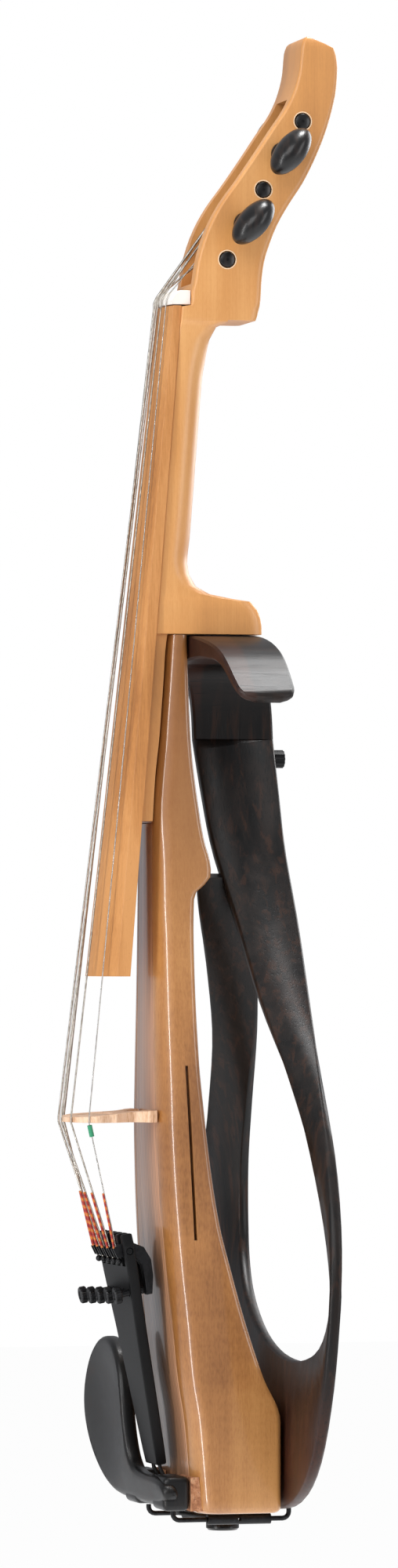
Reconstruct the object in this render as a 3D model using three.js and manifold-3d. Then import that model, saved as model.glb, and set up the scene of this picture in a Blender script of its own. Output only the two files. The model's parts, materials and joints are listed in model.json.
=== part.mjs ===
// Electric violin with a slim centre body, a long twisted ribbon frame behind it and five strings.
// Millimetres. +Z runs up the instrument from the end button to the head, -X faces the player's bow,
// +X is the back, -Y is the treble side and +Y the bass side.
// The origin is the centre of the end button's flat outer face.
import * as THREE from 'three';
import Module from 'manifold-3d';
import { mergeVertices } from 'three/addons/utils/BufferGeometryUtils.js';

const wasm = await Module();
wasm.setup();

// Shared clearances
const CLEARANCE = 0.3;
const OVERRUN = 2;

// Centre body
const BODY_FOOT = 8.6;
const BODY_LENGTH = 348.4;
const BODY_DEPTH = 34;
const BODY_HALF_WIDTH = 34;
const BODY_SHOULDER_ROUND = 7;
const BODY_BACK_ROUND = 2.5;
const TOP_PLATE_THICKNESS = 2.8;
const TOP_PLATE_START = 18;
const TOP_PLATE_LENGTH = 264;
const SIDE_SLOT_WIDTH = 1.2;
const SIDE_SLOT_LENGTH = 69;
const SIDE_SLOT_DEPTH = 6;
const SIDE_SLOT_HEIGHT = 151.5;
const SIDE_SLOT_SETBACK = 20.6;

// Neck, heel and head
const NECK_LENGTH = 131;
const NECK_FACE_SETBACK = 19.9;
const NECK_HALF_WIDTH = 15.5;
const TONGUE_HALF_WIDTH = 13.5;
const HEEL_REACH = 12.8;
const HEAD_HEIGHT = 108.5;
const HEAD_REACH = 45;
const HEAD_HALF_WIDTH = 14;
const HEAD_EDGE_ROUND = 1.6;
const HANGER_FACE_START = 1.6;
const HANGER_FACE_DROP = 5.5;
const PEGBOX_HALF_WIDTH = 7.8;
const PEGBOX_FLOOR = 5.2;

// Fingerboard and nut
const FINGERBOARD_END_GAP = 57.9;
const FINGERBOARD_RADIUS = 42;
const FINGERBOARD_NUT_HALF_WIDTH = 12.3;
const FINGERBOARD_END_HALF_WIDTH = 22;
const FINGERBOARD_NUT_THICKNESS = 5.2;
const FINGERBOARD_END_THICKNESS = 11.6;
const FINGERBOARD_HOLLOW_LENGTH = 60;
const FINGERBOARD_WALL = 4.6;
const STRING_ACTION = 3.4;
const NUT_THICKNESS = 5.6;
const NUT_STAND = 0.6;

// Tuning pegs
const PEG_HEAD_END_RADIUS = 3.9;
const PEG_TIP_RADIUS = 3;
const PEG_COLLAR_RADIUS = 5;
const PEG_COLLAR_LENGTH = 2.4;
const PEG_NECK_RADIUS = 3.1;
const PEG_THUMB_LENGTH = 22;
const PEG_THUMB_THICKNESS = 9.6;
const PEG_THUMB_REACH = 17;
const PEG_TIP_STAND = 0.5;

// Bridge
const BRIDGE_HEIGHT = 33.5;
const BRIDGE_HALF_SPAN = 21;
const BRIDGE_FOOT_THICKNESS = 5;
const BRIDGE_CROWN_THICKNESS = 1.8;
const BRIDGE_RADIUS = 36;
const BRIDGE_Z = 163.4;
const BRIDGE_STRING_PITCH = 10;

// Strings
const NUT_STRING_PITCH = 4.3;
const TAIL_STRING_PITCH = 8;
const STRING_COIL_LOOPS = 2;
const STRING_COIL_GAP = 0.55;
const STRING_E = 0.5;
const STRING_A = 0.7;
const STRING_D = 0.8;
const STRING_G = 0.85;
const STRING_C = 1.1;
const STRING_BALL_RADIUS = 1.3;
const STRING_SLEEVE_RADIUS = 0.95;
const STRING_SLEEVE_LENGTH = 4.6;

// Tailpiece with its built-in fine tuners
const TAILPIECE_FOOT_X = 27.4;
const TAILPIECE_FOOT_Z = 27;
const TAILPIECE_TILT = 0.187;
const TAILPIECE_LENGTH = 94;
const TAILPIECE_THICKNESS = 4.6;
const TAILPIECE_HALF_WIDTH = 21;
const TAILPIECE_RIM = 0.9;
const TUNER_AXLE_RADIUS = 1.2;
const TUNER_AXLE_DROP = 7;
const TUNER_LEVER_WIDTH = 4.2;
const TUNER_FORK_WIDTH = 2.7;
const TUNER_LEVER_REACH = 16.5;
const TUNER_SCREW_RADIUS = 1.3;
const TUNER_HEAD_RADIUS = 3.4;
const TUNER_HEAD_LENGTH = 3.8;
const TUNER_STAND_STEP = 1.5;
const TUNER_STAND = 2.4;

// Tail cord, saddle and end button
const TAIL_CORD_DIAMETER = 1.6;
const TAIL_CORD_PITCH = 10;
const SADDLE_WIDTH = 22;
const SADDLE_HEIGHT = 4;
const SADDLE_DEPTH = 6;
const BUTTON_HEAD_RADIUS = 6.6;
const BUTTON_HEAD_LENGTH = 4;
const BUTTON_GROOVE_RADIUS = 4.2;
const BUTTON_GROOVE_LENGTH = 2.4;
const BUTTON_COLLAR_RADIUS = 6;
const BUTTON_PIN_RADIUS = 3.9;
const BUTTON_PIN_LENGTH = 27;

// Chin rest and its clamps
const CHIN_REST_FRONT = 37.5;
const CHIN_REST_THICKNESS = 6.5;
const CHIN_REST_HEIGHT = 68;
const CHIN_REST_REACH = 83;
const CHIN_REST_FOOT = 9.6;
const CHIN_REST_RIM = 2.4;
const CHIN_REST_DISH_RADIUS = 62;
const CHIN_REST_DISH_DEPTH = 3;
const CHIN_FOOT_INNER = 12;
const CHIN_FOOT_WIDTH = 19;
const CHIN_FOOT_HEIGHT = 14;
const CORK_THICKNESS = 2.6;
const CLAMP_OFFSET = 19;
const CLAMP_HEIGHT = 5.6;
const CLAMP_ROD_RADIUS = 1;
const CLAMP_BARREL_RADIUS = 2.1;
const CLAMP_BARREL_LENGTH = 26;
const CLAMP_BEND = 2.6;
const CLAMP_ROD_SEAT = 4;

// Ribbon frame and shoulder arch
const FRAME_WIDTH = 200;
const FRAME_DEPTH = 30;
const FRAME_THICKNESS = 4.6;
const FRAME_EDGE = 0.9;
const ARCH_HALF_SPAN = 63;
const ARCH_HEIGHT = 26;
const ARCH_SEAM_DROP = 40;
const ARCH_CROWN_THICKNESS = 11;
const SEAM_GAP = 0.35;

// Volume control, pickup and output jack
const KNOB_RADIUS = 3.7;
const KNOB_LENGTH = 7.4;
const KNOB_FLUTES = 12;
const KNOB_DROP = 8;
const KNOB_SHAFT_RADIUS = 1.5;
const HOUSING_HEIGHT = 14;
const HOUSING_DEPTH = 18;
const HOUSING_WIDTH = 9.5;
const HOUSING_SETBACK = 0.9;
const PICKUP_LENGTH = 26;
const PICKUP_HEIGHT = 7;
const PICKUP_THICKNESS = 2.6;
const JACK_HEIGHT = 60;
const JACK_SETBACK = 7;
const JACK_BORE_RADIUS = 3.3;
const JACK_BARREL_RADIUS = 5.6;
const JACK_LENGTH = 24;
const JACK_FLANGE_RADIUS = 8;
const JACK_FLANGE_THICKNESS = 2;

// Facets
const SHOULDER_STEPS = 3;
const BACK_STEPS = 4;
const ROUND_SIDES = 20;
const CORD_SIDES = 6;
const LOOP_STEPS = 24;

// Colours of the finishes
const maple = new THREE.MeshStandardMaterial({ color: 0xd9985a, roughness: 0.32 });
const bodyMaple = new THREE.MeshStandardMaterial({ color: 0xb58248, roughness: 0.22 });
const boardWood = new THREE.MeshStandardMaterial({ color: 0xc98542, roughness: 0.45 });
const spruce = new THREE.MeshStandardMaterial({ color: 0xb58d6b, roughness: 0.4 });
const darkWood = new THREE.MeshStandardMaterial({ color: 0x201a18, roughness: 0.4 });
const ebony = new THREE.MeshStandardMaterial({ color: 0x151515, roughness: 0.3 });
const bone = new THREE.MeshStandardMaterial({ color: 0xf6efe8, roughness: 0.4 });
const bridgeWood = new THREE.MeshStandardMaterial({ color: 0xd2a17b, roughness: 0.6 });
const blackPlastic = new THREE.MeshStandardMaterial({ color: 0x1a1b1c, roughness: 0.45 });
const steel = new THREE.MeshStandardMaterial({ color: 0xb9b4ae, roughness: 0.3, metalness: 0.9 });
const blackMetal = new THREE.MeshStandardMaterial({ color: 0x0e0e0f, roughness: 0.4, metalness: 0.6 });
const cork = new THREE.MeshStandardMaterial({ color: 0xc07a55, roughness: 0.9 });
const cordMaterial = new THREE.MeshStandardMaterial({ color: 0x1c1c1c, roughness: 0.7 });
const sleeveGreen = new THREE.MeshStandardMaterial({ color: 0x2f8f66, roughness: 0.5 });
const ceramic = new THREE.MeshStandardMaterial({ color: 0x9a9a92, roughness: 0.6 });

const violin = new THREE.Group();

// Solids and meshes

function solidOf(geometry) {
  const bare = geometry.clone();
  bare.deleteAttribute('normal');
  bare.deleteAttribute('uv');
  const merged = mergeVertices(bare);
  const made = new wasm.Manifold(new wasm.Mesh({
    numProp: 3,
    vertProperties: merged.attributes.position.array,
    triVerts: new Uint32Array(merged.index.array),
  }));
  return made;
}

function geometryOf(solid) {
  const mesh = solid.getMesh();
  const geometry = new THREE.BufferGeometry();
  geometry.setAttribute('position', new THREE.BufferAttribute(new Float32Array(mesh.vertProperties), 3));
  geometry.setIndex(new THREE.BufferAttribute(new Uint32Array(mesh.triVerts), 1));
  const flat = geometry.toNonIndexed();
  flat.computeVertexNormals();
  return flat;
}

function add(name, solid, material, group = violin) {
  const mesh = new THREE.Mesh(geometryOf(solid), material);
  mesh.name = name;
  group.add(mesh);
  return mesh;
}

// A closed skin over matching rings of points, capped at both ends and turned so its faces point out.
function skin(rings) {
  const count = rings[0].length;
  const positions = [];
  const faces = [];
  for (const ring of rings) {
    for (const point of ring) {
      positions.push(point.x, point.y, point.z);
    }
  }
  for (let i = 0; i < rings.length - 1; i += 1) {
    for (let j = 0; j < count; j += 1) {
      const a = i * count + j;
      const b = i * count + ((j + 1) % count);
      const c = b + count;
      const d = a + count;
      faces.push([a, b, c], [a, c, d]);
    }
  }
  const last = (rings.length - 1) * count;
  for (let j = 1; j < count - 1; j += 1) {
    faces.push([0, j + 1, j]);
    faces.push([last, last + j, last + j + 1]);
  }
  let volume = 0;
  for (const [a, b, c] of faces) {
    const p = new THREE.Vector3().fromArray(positions, a * 3);
    const q = new THREE.Vector3().fromArray(positions, b * 3);
    const r = new THREE.Vector3().fromArray(positions, c * 3);
    volume += p.dot(q.cross(r));
  }
  const index = faces.flatMap(([a, b, c]) => (volume > 0 ? [a, b, c] : [a, c, b]));
  const geometry = new THREE.BufferGeometry();
  geometry.setAttribute('position', new THREE.BufferAttribute(new Float32Array(positions), 3));
  geometry.setIndex(index);
  return solidOf(geometry);
}

function outlineOf(points, holes = []) {
  const shape = new THREE.Shape(points.map(([u, v]) => new THREE.Vector2(u, v)));
  for (const hole of holes) {
    shape.holes.push(new THREE.Path(hole.map(([u, v]) => new THREE.Vector2(u, v))));
  }
  return shape;
}

// Prisms: the outline lies in the XZ plane and runs along Y, or in the YZ plane and runs along X.
function sidePrism(points, fromY, toY) {
  const geometry = new THREE.ExtrudeGeometry(outlineOf(points), { depth: toY - fromY, bevelEnabled: false });
  geometry.rotateX(Math.PI / 2);
  geometry.translate(0, toY, 0);
  return solidOf(geometry);
}

function frontPrism(points, fromX, toX, holes = []) {
  const shape = outlineOf(points, holes);
  const geometry = new THREE.ExtrudeGeometry(shape, { depth: toX - fromX, bevelEnabled: false });
  const turn = new THREE.Matrix4().makeBasis(
    new THREE.Vector3(0, 1, 0),
    new THREE.Vector3(0, 0, 1),
    new THREE.Vector3(1, 0, 0),
  );
  geometry.applyMatrix4(turn);
  geometry.translate(fromX, 0, 0);
  return solidOf(geometry);
}

// The same prism with its two rims rounded over.
function softPrism(points, fromX, toX, rim) {
  const geometry = new THREE.ExtrudeGeometry(outlineOf(points), {
    depth: toX - fromX - 2 * rim,
    bevelEnabled: true,
    bevelThickness: rim,
    bevelSize: rim,
    bevelOffset: -rim,
    bevelSegments: 2,
  });
  const turn = new THREE.Matrix4().makeBasis(
    new THREE.Vector3(0, 1, 0),
    new THREE.Vector3(0, 0, 1),
    new THREE.Vector3(1, 0, 0),
  );
  geometry.applyMatrix4(turn);
  geometry.translate(fromX + rim, 0, 0);
  return solidOf(geometry);
}

function block(fromX, toX, fromY, toY, fromZ, toZ) {
  const geometry = new THREE.BoxGeometry(toX - fromX, toY - fromY, toZ - fromZ);
  geometry.translate((fromX + toX) / 2, (fromY + toY) / 2, (fromZ + toZ) / 2);
  return solidOf(geometry);
}

// A turned solid: profile points are [radius, along], and the axis is X, Y or Z through the centre.
function turned(profile, axis, centre, sides = ROUND_SIDES) {
  const geometry = new THREE.LatheGeometry(profile.map(([r, y]) => new THREE.Vector2(r, y)), sides);
  if (axis === 'x') {
    geometry.rotateZ(-Math.PI / 2);
  }
  if (axis === 'z') {
    geometry.rotateX(Math.PI / 2);
  }
  geometry.translate(centre.x, centre.y, centre.z);
  const made = solidOf(geometry);
  return made;
}

// A rod along one axis between two places on it.
function rod(radius, from, to, axis, centre, sides = ROUND_SIDES) {
  return turned([[0, from], [radius, from], [radius, to], [0, to]], axis, centre, sides);
}

// A level section with elliptical corners, from the front edge to the back edge.
function levelSection(height, section) {
  const { front, back, half, frontRound, backRound } = section;
  const corners = [
    [front + frontRound[0], -(half - frontRound[1]), frontRound, Math.PI, SHOULDER_STEPS],
    [back - backRound[0], -(half - backRound[1]), backRound, 1.5 * Math.PI, BACK_STEPS],
    [back - backRound[0], half - backRound[1], backRound, 0, BACK_STEPS],
    [front + frontRound[0], half - frontRound[1], frontRound, Math.PI / 2, SHOULDER_STEPS],
  ];
  const points = [];
  for (const [cx, cy, round, start, steps] of corners) {
    for (let i = 0; i <= steps; i += 1) {
      const angle = start + (i / steps) * (Math.PI / 2);
      points.push(new THREE.Vector3(cx + round[0] * Math.cos(angle), cy + round[1] * Math.sin(angle), height));
    }
  }
  return points;
}

// A cord follows its stations one by one, so close stations can serve a coil and wide ones a straight run.
class StationCurve extends THREE.Curve {
  constructor(stations) {
    super();
    this.stations = stations;
  }

  getPoint(t, target = new THREE.Vector3()) {
    const last = this.stations.length - 1;
    const place = THREE.MathUtils.clamp(t, 0, 1) * last;
    const index = Math.min(Math.floor(place + 1e-6), last - 1);
    return target.lerpVectors(this.stations[index], this.stations[index + 1], place - index);
  }

  getPointAt(u, target) {
    return this.getPoint(u, target);
  }

  getTangentAt(u, target = new THREE.Vector3()) {
    const last = this.stations.length - 1;
    const place = Math.round(u * last);
    const before = this.stations[Math.max(place - 1, 0)];
    const here = this.stations[place];
    const after = this.stations[Math.min(place + 1, last)];
    const arriving = here.clone().sub(before).normalize();
    const leaving = after.clone().sub(here).normalize();
    return target.copy(arriving.add(leaving)).normalize();
  }
}

function cordGeometry(stations, diameter, sides = CORD_SIDES) {
  const ring = [];
  for (let i = 0; i < sides; i += 1) {
    const angle = (i / sides) * 2 * Math.PI;
    ring.push([0.5 * diameter * Math.cos(angle), 0.5 * diameter * Math.sin(angle)]);
  }
  return new THREE.ExtrudeGeometry(outlineOf(ring), {
    steps: stations.length - 1,
    extrudePath: new StationCurve(stations),
    bevelEnabled: false,
  });
}

// The sag of an arc below its crown at a distance from the centre line.
function crownDrop(radius, offset) {
  return radius - Math.sqrt(radius * radius - offset * offset);
}

function between(rows, place, column) {
  const after = rows.findIndex((row) => row[0] >= place);
  if (after <= 0) {
    return rows[0][column];
  }
  const [low, high] = [rows[after - 1], rows[after]];
  const share = (place - low[0]) / (high[0] - low[0]);
  return low[column] + share * (high[column] - low[column]);
}

// Centre body: level sections with a flat front strip, soft shoulders and a back that sweeps out at the foot.
// Shares: height along the body, front and back in depths, half width, flat strip in half widths.
const bodyShares = [
  [0, -0.5, 0.4, 0.93, 0.6],
  [0.01, -0.556, 0.45, 1, 0.66],
  [0.104, -0.641, 0.45, 1, 0.66],
  [0.155, -0.72, 0.241, 0.985, 0.647],
  [0.218, -0.782, 0.026, 0.97, 0.62],
  [0.282, -0.847, -0.153, 0.941, 0.59],
  [0.327, -0.882, -0.282, 0.912, 0.56],
  [0.387, -0.918, -0.356, 0.868, 0.5],
  [0.457, -0.941, -0.43, 0.82, 0.44],
  [0.512, -0.941, -0.473, 0.765, 0.41],
  [0.594, -0.941, -0.497, 0.676, 0.353],
  [0.65, -0.941, -0.503, 0.632, 0.325],
  [0.698, -0.941, -0.487, 0.588, 0.31],
  [0.708, -0.941, -0.45, 0.583, 0.305],
  [0.719, -0.941, -0.31, 0.58, 0.303],
  [0.727, -0.941, -0.277, 0.576, 0.301],
  [0.742, -0.941, -0.29, 0.567, 0.3],
  [0.762, -0.941, -0.345, 0.545, 0.298],
  [0.788, -0.941, -0.39, 0.515, 0.295],
  [0.882, -0.862, -0.497, 0.47, 0.265],
  [1, -0.765, -0.538, 0.44, 0.235],
];

function bodyAt(height) {
  const place = (height - BODY_FOOT) / BODY_LENGTH;
  return {
    front: between(bodyShares, place, 1) * BODY_DEPTH,
    back: between(bodyShares, place, 2) * BODY_DEPTH,
    half: between(bodyShares, place, 3) * BODY_HALF_WIDTH,
    flat: between(bodyShares, place, 4) * BODY_HALF_WIDTH,
  };
}

function bodySection(height, grow) {
  const { front, back, half, flat } = bodyAt(height);
  const shoulder = Math.min(BODY_SHOULDER_ROUND, (back - front) / 2);
  return levelSection(height, {
    front: front - grow,
    back: back + grow,
    half: half + grow,
    frontRound: [shoulder, half - flat],
    backRound: [BODY_BACK_ROUND, BODY_BACK_ROUND],
  });
}

const bodyLevels = bodyShares.map(([place]) => BODY_FOOT + place * BODY_LENGTH);

function bodyForm(grow) {
  return skin(bodyLevels.map((height) => bodySection(height, grow)));
}

// The spruce strip let into the front, and its pocket when grown by the clearance.
function topPlate(grow, proud) {
  const start = TOP_PLATE_START - grow;
  const end = TOP_PLATE_START + TOP_PLATE_LENGTH + grow;
  const inside = bodyLevels.filter((height) => height > start + OVERRUN && height < end - OVERRUN);
  return skin([start, ...inside, end].map((height) => {
    const { front, flat } = bodyAt(height);
    const outer = front - proud;
    const inner = front + TOP_PLATE_THICKNESS + grow;
    const half = flat + grow;
    return [[outer, -half], [inner, -half], [inner, half], [outer, half]]
      .map(([x, y]) => new THREE.Vector3(x, y, height));
  }));
}

function sideSlot(side) {
  const half = bodyAt(SIDE_SLOT_HEIGHT).half;
  const geometry = new THREE.BoxGeometry(SIDE_SLOT_WIDTH, 2 * SIDE_SLOT_DEPTH, SIDE_SLOT_LENGTH);
  geometry.rotateY(-SIDE_SLOT_WIDTH / (SIDE_SLOT_LENGTH / 2));
  geometry.translate(-SIDE_SLOT_SETBACK, side * half, SIDE_SLOT_HEIGHT);
  return solidOf(geometry);
}

const jackSeat = bodyAt(JACK_HEIGHT - JACK_FLANGE_RADIUS).half;
const jackCentre = new THREE.Vector3(-JACK_SETBACK, jackSeat, JACK_HEIGHT);
const bridgeSeat = bodyAt(BRIDGE_Z + BRIDGE_FOOT_THICKNESS).front;
const saddleFront = bodyAt(BODY_FOOT + SADDLE_HEIGHT).front;
const pickupTop = bridgeSeat + TOP_PLATE_THICKNESS + 2 * CLEARANCE;
const frameTop = BODY_FOOT + BODY_LENGTH;
const frameSeam = frameTop - ARCH_SEAM_DROP;

function makeBody() {
  let body = bodyForm(0);
  body = body.subtract(topPlate(CLEARANCE, OVERRUN));
  body = body.subtract(sideSlot(1));
  body = body.subtract(sideSlot(-1));
  body = body.subtract(block(
    pickupTop - 3 * CLEARANCE,
    pickupTop + PICKUP_THICKNESS + CLEARANCE,
    -PICKUP_LENGTH / 2 - CLEARANCE,
    PICKUP_LENGTH / 2 + CLEARANCE,
    BRIDGE_Z - PICKUP_HEIGHT / 2,
    BRIDGE_Z + PICKUP_HEIGHT + CLEARANCE,
  ));
  body = body.subtract(rod(
    JACK_BARREL_RADIUS + CLEARANCE,
    -JACK_LENGTH,
    OVERRUN,
    'y',
    jackCentre,
  ));
  body = body.subtract(rod(
    BUTTON_PIN_RADIUS + CLEARANCE,
    0,
    BODY_FOOT + BUTTON_PIN_LENGTH + CLEARANCE,
    'z',
    new THREE.Vector3(),
  ));
  body = body.subtract(block(
    saddleFront - OVERRUN,
    saddleFront + SADDLE_DEPTH + CLEARANCE,
    -SADDLE_WIDTH / 2 - CLEARANCE,
    SADDLE_WIDTH / 2 + CLEARANCE,
    BODY_FOOT - OVERRUN,
    BODY_FOOT + SADDLE_HEIGHT + CLEARANCE,
  ));
  add('body', body, bodyMaple);
}

function makeTopPlate() {
  add('top_plate', topPlate(0, 0), spruce);
}

function makePickup() {
  add('pickup', block(
    pickupTop,
    pickupTop + PICKUP_THICKNESS,
    -PICKUP_LENGTH / 2,
    PICKUP_LENGTH / 2,
    BRIDGE_Z - PICKUP_HEIGHT / 2 + CLEARANCE,
    BRIDGE_Z + PICKUP_HEIGHT,
  ), ceramic);
}

// Neck: one piece of maple, from the tongue on the body through the heel and the shaft to the head.
// Its face is tilted so that the strings clear the end of the fingerboard by their action.
const nutZ = frameTop + NECK_LENGTH;
const tongueEnd = TOP_PLATE_START + TOP_PLATE_LENGTH + 3 * CLEARANCE;
const nutCrown = -NECK_FACE_SETBACK - CLEARANCE - FINGERBOARD_NUT_THICKNESS - NUT_STAND;
const bridgeFoot = bridgeSeat - CLEARANCE;
const bridgeCrown = bridgeFoot - BRIDGE_HEIGHT;
const boardEnd = BRIDGE_Z + FINGERBOARD_END_GAP;
const stringAtBoardEnd = THREE.MathUtils.mapLinear(boardEnd, nutZ, BRIDGE_Z, nutCrown, bridgeCrown);
const boardEndFace = stringAtBoardEnd + STRING_ACTION + FINGERBOARD_END_THICKNESS + CLEARANCE;

function neckFace(height) {
  return THREE.MathUtils.mapLinear(height, nutZ, boardEnd, -NECK_FACE_SETBACK, boardEndFace);
}

// Shares: height from the body's top to the nut, back in heel reaches, half width, roundness of the back.
const neckShares = [
  [0.0027, 0.984, 1, 0.16],
  [0.0298, 0.984, 1, 0.16],
  [0.0767, 0.859, 1, 0.18],
  [0.1033, 0.633, 1, 0.2],
  [0.1111, 0.07, 0.99, 0.24],
  [0.1252, -0.734, 0.98, 0.4],
  [0.1487, -1.164, 0.97, 0.65],
  [0.1847, -1.352, 0.96, 0.85],
  [0.2207, -1.398, 0.95, 0.95],
  [0.2927, -1.32, 0.92, 0.95],
  [0.5071, -1.133, 0.86, 0.95],
  [0.7230, -0.953, 0.81, 0.95],
  [0.7934, -0.883, 0.8, 0.95],
  [0.8404, -0.797, 0.8, 0.9],
  [0.9014, -0.68, 0.81, 0.75],
  [0.9390, -0.477, 0.84, 0.5],
  [0.9523, -0.15, 0.88, 0.3],
  [0.9546, 0.797, 0.895, 0.16],
  [0.9671, 0.852, 0.9, 0.16],
  [0.9969, 0.93, 0.903, 0.16],
];

// Shares: height along the head, front and back in head reaches.
const headShares = [
  [0.0015, -0.36, 0.267],
  [0.05, -0.36, 0.281],
  [0.083, -0.338, 0.284],
  [0.161, -0.307, 0.307],
  [0.235, -0.258, 0.36],
  [0.304, -0.191, 0.429],
  [0.382, -0.084, 0.538],
  [0.458, 0.051, 0.66],
  [0.556, 0.216, 0.782],
  [0.652, 0.371, 0.876],
  [0.738, 0.51, 0.938],
  [0.811, 0.587, 0.973],
  [0.888, 0.631, 0.984],
  [0.937, 0.64, 0.969],
  [0.96, 0.644, 0.949],
  [0.989, 0.649, 0.738],
  [1, 0.649, 0.667],
];

function neckLevel(height, front, back, half, roundness) {
  const depth = back - front;
  const edge = Math.min(HEAD_EDGE_ROUND, depth / 3);
  return levelSection(height, {
    front,
    back,
    half,
    frontRound: [edge * 0.4, edge * 0.4],
    backRound: [Math.max(roundness * depth * 0.8, edge * 0.5), Math.max(roundness * half, edge * 0.5)],
  });
}

function neckForm() {
  const levels = [];
  const heel = frameTop + neckShares[0][0] * NECK_LENGTH;
  const onBody = bodyLevels.filter((height) => height > tongueEnd + CLEARANCE && height < frameTop);
  for (const height of [tongueEnd, ...onBody, heel - CLEARANCE / 6]) {
    const back = bodyAt(Math.min(height, frameTop)).front - CLEARANCE;
    levels.push(neckLevel(height, neckFace(height), back, TONGUE_HALF_WIDTH, 0));
  }
  for (const [place, back, half, roundness] of neckShares) {
    const height = frameTop + place * NECK_LENGTH;
    levels.push(neckLevel(height, neckFace(height), back * HEEL_REACH, half * NECK_HALF_WIDTH, roundness));
  }
  for (const [place, front, back] of headShares) {
    const height = nutZ + place * HEAD_HEIGHT;
    levels.push(neckLevel(height, front * HEAD_REACH, back * HEAD_REACH, HEAD_HALF_WIDTH, 0.14));
  }
  return skin(levels);
}

// The pegbox is a slot open at the front, with a floor of even depth behind it.
const pegboxShares = [0.083, 0.161, 0.235, 0.304, 0.382, 0.458, 0.556, 0.652, 0.738, 0.77];

function pegbox() {
  const floor = [];
  const mouth = [];
  for (const place of pegboxShares) {
    const height = nutZ + place * HEAD_HEIGHT;
    floor.push([between(headShares, place, 2) * HEAD_REACH - PEGBOX_FLOOR, height]);
    mouth.unshift([between(headShares, place, 1) * HEAD_REACH - OVERRUN, height]);
  }
  return sidePrism([...floor, ...mouth], -PEGBOX_HALF_WIDTH, PEGBOX_HALF_WIDTH);
}

// Pegs: shares of the head's reach and height where each axis crosses, the side of the thumb piece,
// the turn of its wing, and where the string's turns start across the pegbox.
const pegShares = [
  { name: 'e', across: 0.12, up: 0.3, side: -1, turn: 0.72, start: -0.58 },
  { name: 'a', across: 0.464, up: 0.561, side: -1, turn: 0.66, start: -0.32 },
  { name: 'd', across: 0.291, up: 0.431, side: 1, turn: 0.9, start: 0.05 },
  { name: 'g', across: -0.04, up: 0.171, side: 1, turn: 0.5, start: 0.42 },
  { name: 'c', across: 0.653, up: 0.686, side: 1, turn: 0.75, start: -0.22 },
];

const pegs = pegShares.map(({ name, across, up, side, turn, start }) => ({
  name,
  side,
  turn,
  coilY: start * PEGBOX_HALF_WIDTH,
  x: across * HEAD_REACH,
  z: nutZ + up * HEAD_HEIGHT,
}));

function pegShaft(grow) {
  const tip = HEAD_HALF_WIDTH + PEG_TIP_STAND;
  return [
    [0, -tip - (grow > 0 ? OVERRUN : 0)],
    [PEG_TIP_RADIUS + grow, -tip - (grow > 0 ? OVERRUN : 0)],
    [PEG_HEAD_END_RADIUS + grow, HEAD_HALF_WIDTH + (grow > 0 ? OVERRUN : 0)],
  ];
}

function pegForm(peg) {
  const collar = HEAD_HALF_WIDTH + 1.5 * CLEARANCE;
  const thumb = collar + PEG_COLLAR_LENGTH;
  const profile = [
    ...pegShaft(0),
    [PEG_HEAD_END_RADIUS, collar],
    [PEG_COLLAR_RADIUS, collar + PEG_COLLAR_LENGTH * 0.3],
    [PEG_COLLAR_RADIUS * 0.9, thumb],
    [PEG_NECK_RADIUS, thumb + PEG_COLLAR_LENGTH * 0.4],
    [PEG_NECK_RADIUS * 0.95, thumb + PEG_COLLAR_LENGTH * 1.6],
    [0, thumb + PEG_COLLAR_LENGTH * 1.8],
  ];
  const stem = new THREE.LatheGeometry(profile.map(([r, y]) => new THREE.Vector2(r, y)), 16);
  const wing = new THREE.SphereGeometry(0.5, 14, 10);
  wing.scale(PEG_THUMB_THICKNESS, PEG_THUMB_REACH, PEG_THUMB_LENGTH);
  wing.translate(0, thumb + PEG_COLLAR_LENGTH * 0.6 + PEG_THUMB_REACH / 2, 0);
  wing.rotateY(peg.side * peg.turn);
  const form = solidOf(stem).add(solidOf(wing));
  return form.rotate([0, 0, peg.side > 0 ? 0 : 180]).translate([peg.x, 0, peg.z]);
}

const hangerFace = nutZ - HANGER_FACE_DROP;

function makeNeck() {
  let neck = neckForm().subtract(pegbox());
  neck = neck.subtract(block(
    -HANGER_FACE_START,
    HEAD_REACH,
    -2 * HEAD_HALF_WIDTH,
    2 * HEAD_HALF_WIDTH,
    hangerFace - OVERRUN,
    hangerFace,
  ));
  for (const peg of pegs) {
    const [axisPoint, tip, mouth] = pegShaft(CLEARANCE);
    const bore = turned([axisPoint, tip, mouth, [0, mouth[1]]], 'y', new THREE.Vector3(), 16);
    neck = neck.subtract(bore.rotate([0, 0, peg.side > 0 ? 0 : 180]).translate([peg.x, 0, peg.z]));
  }
  add('neck', neck, maple);
}

function makePegs() {
  for (const peg of pegs) {
    add(`peg_${peg.name}`, pegForm(peg), ebony);
  }
}

// Fingerboard: a flat underside, upright edges and an arched playing face, hollowed beyond the neck.
function boardAt(height) {
  const share = (nutZ - height) / (nutZ - boardEnd);
  const half = THREE.MathUtils.lerp(FINGERBOARD_NUT_HALF_WIDTH, FINGERBOARD_END_HALF_WIDTH, share);
  const thickness = THREE.MathUtils.lerp(FINGERBOARD_NUT_THICKNESS, FINGERBOARD_END_THICKNESS, share);
  return { half, under: neckFace(height) - CLEARANCE, crown: neckFace(height) - CLEARANCE - thickness };
}

function archedSection(height, half, under, crown, radius) {
  const points = [new THREE.Vector3(under, half, height), new THREE.Vector3(under, -half, height)];
  const steps = 10;
  const ring = [];
  for (let i = 0; i <= steps; i += 1) {
    const y = half - (2 * half * i) / steps;
    ring.push(new THREE.Vector3(crown + crownDrop(radius, y), y, height));
  }
  return [...ring, points[1], points[0]];
}

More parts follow.
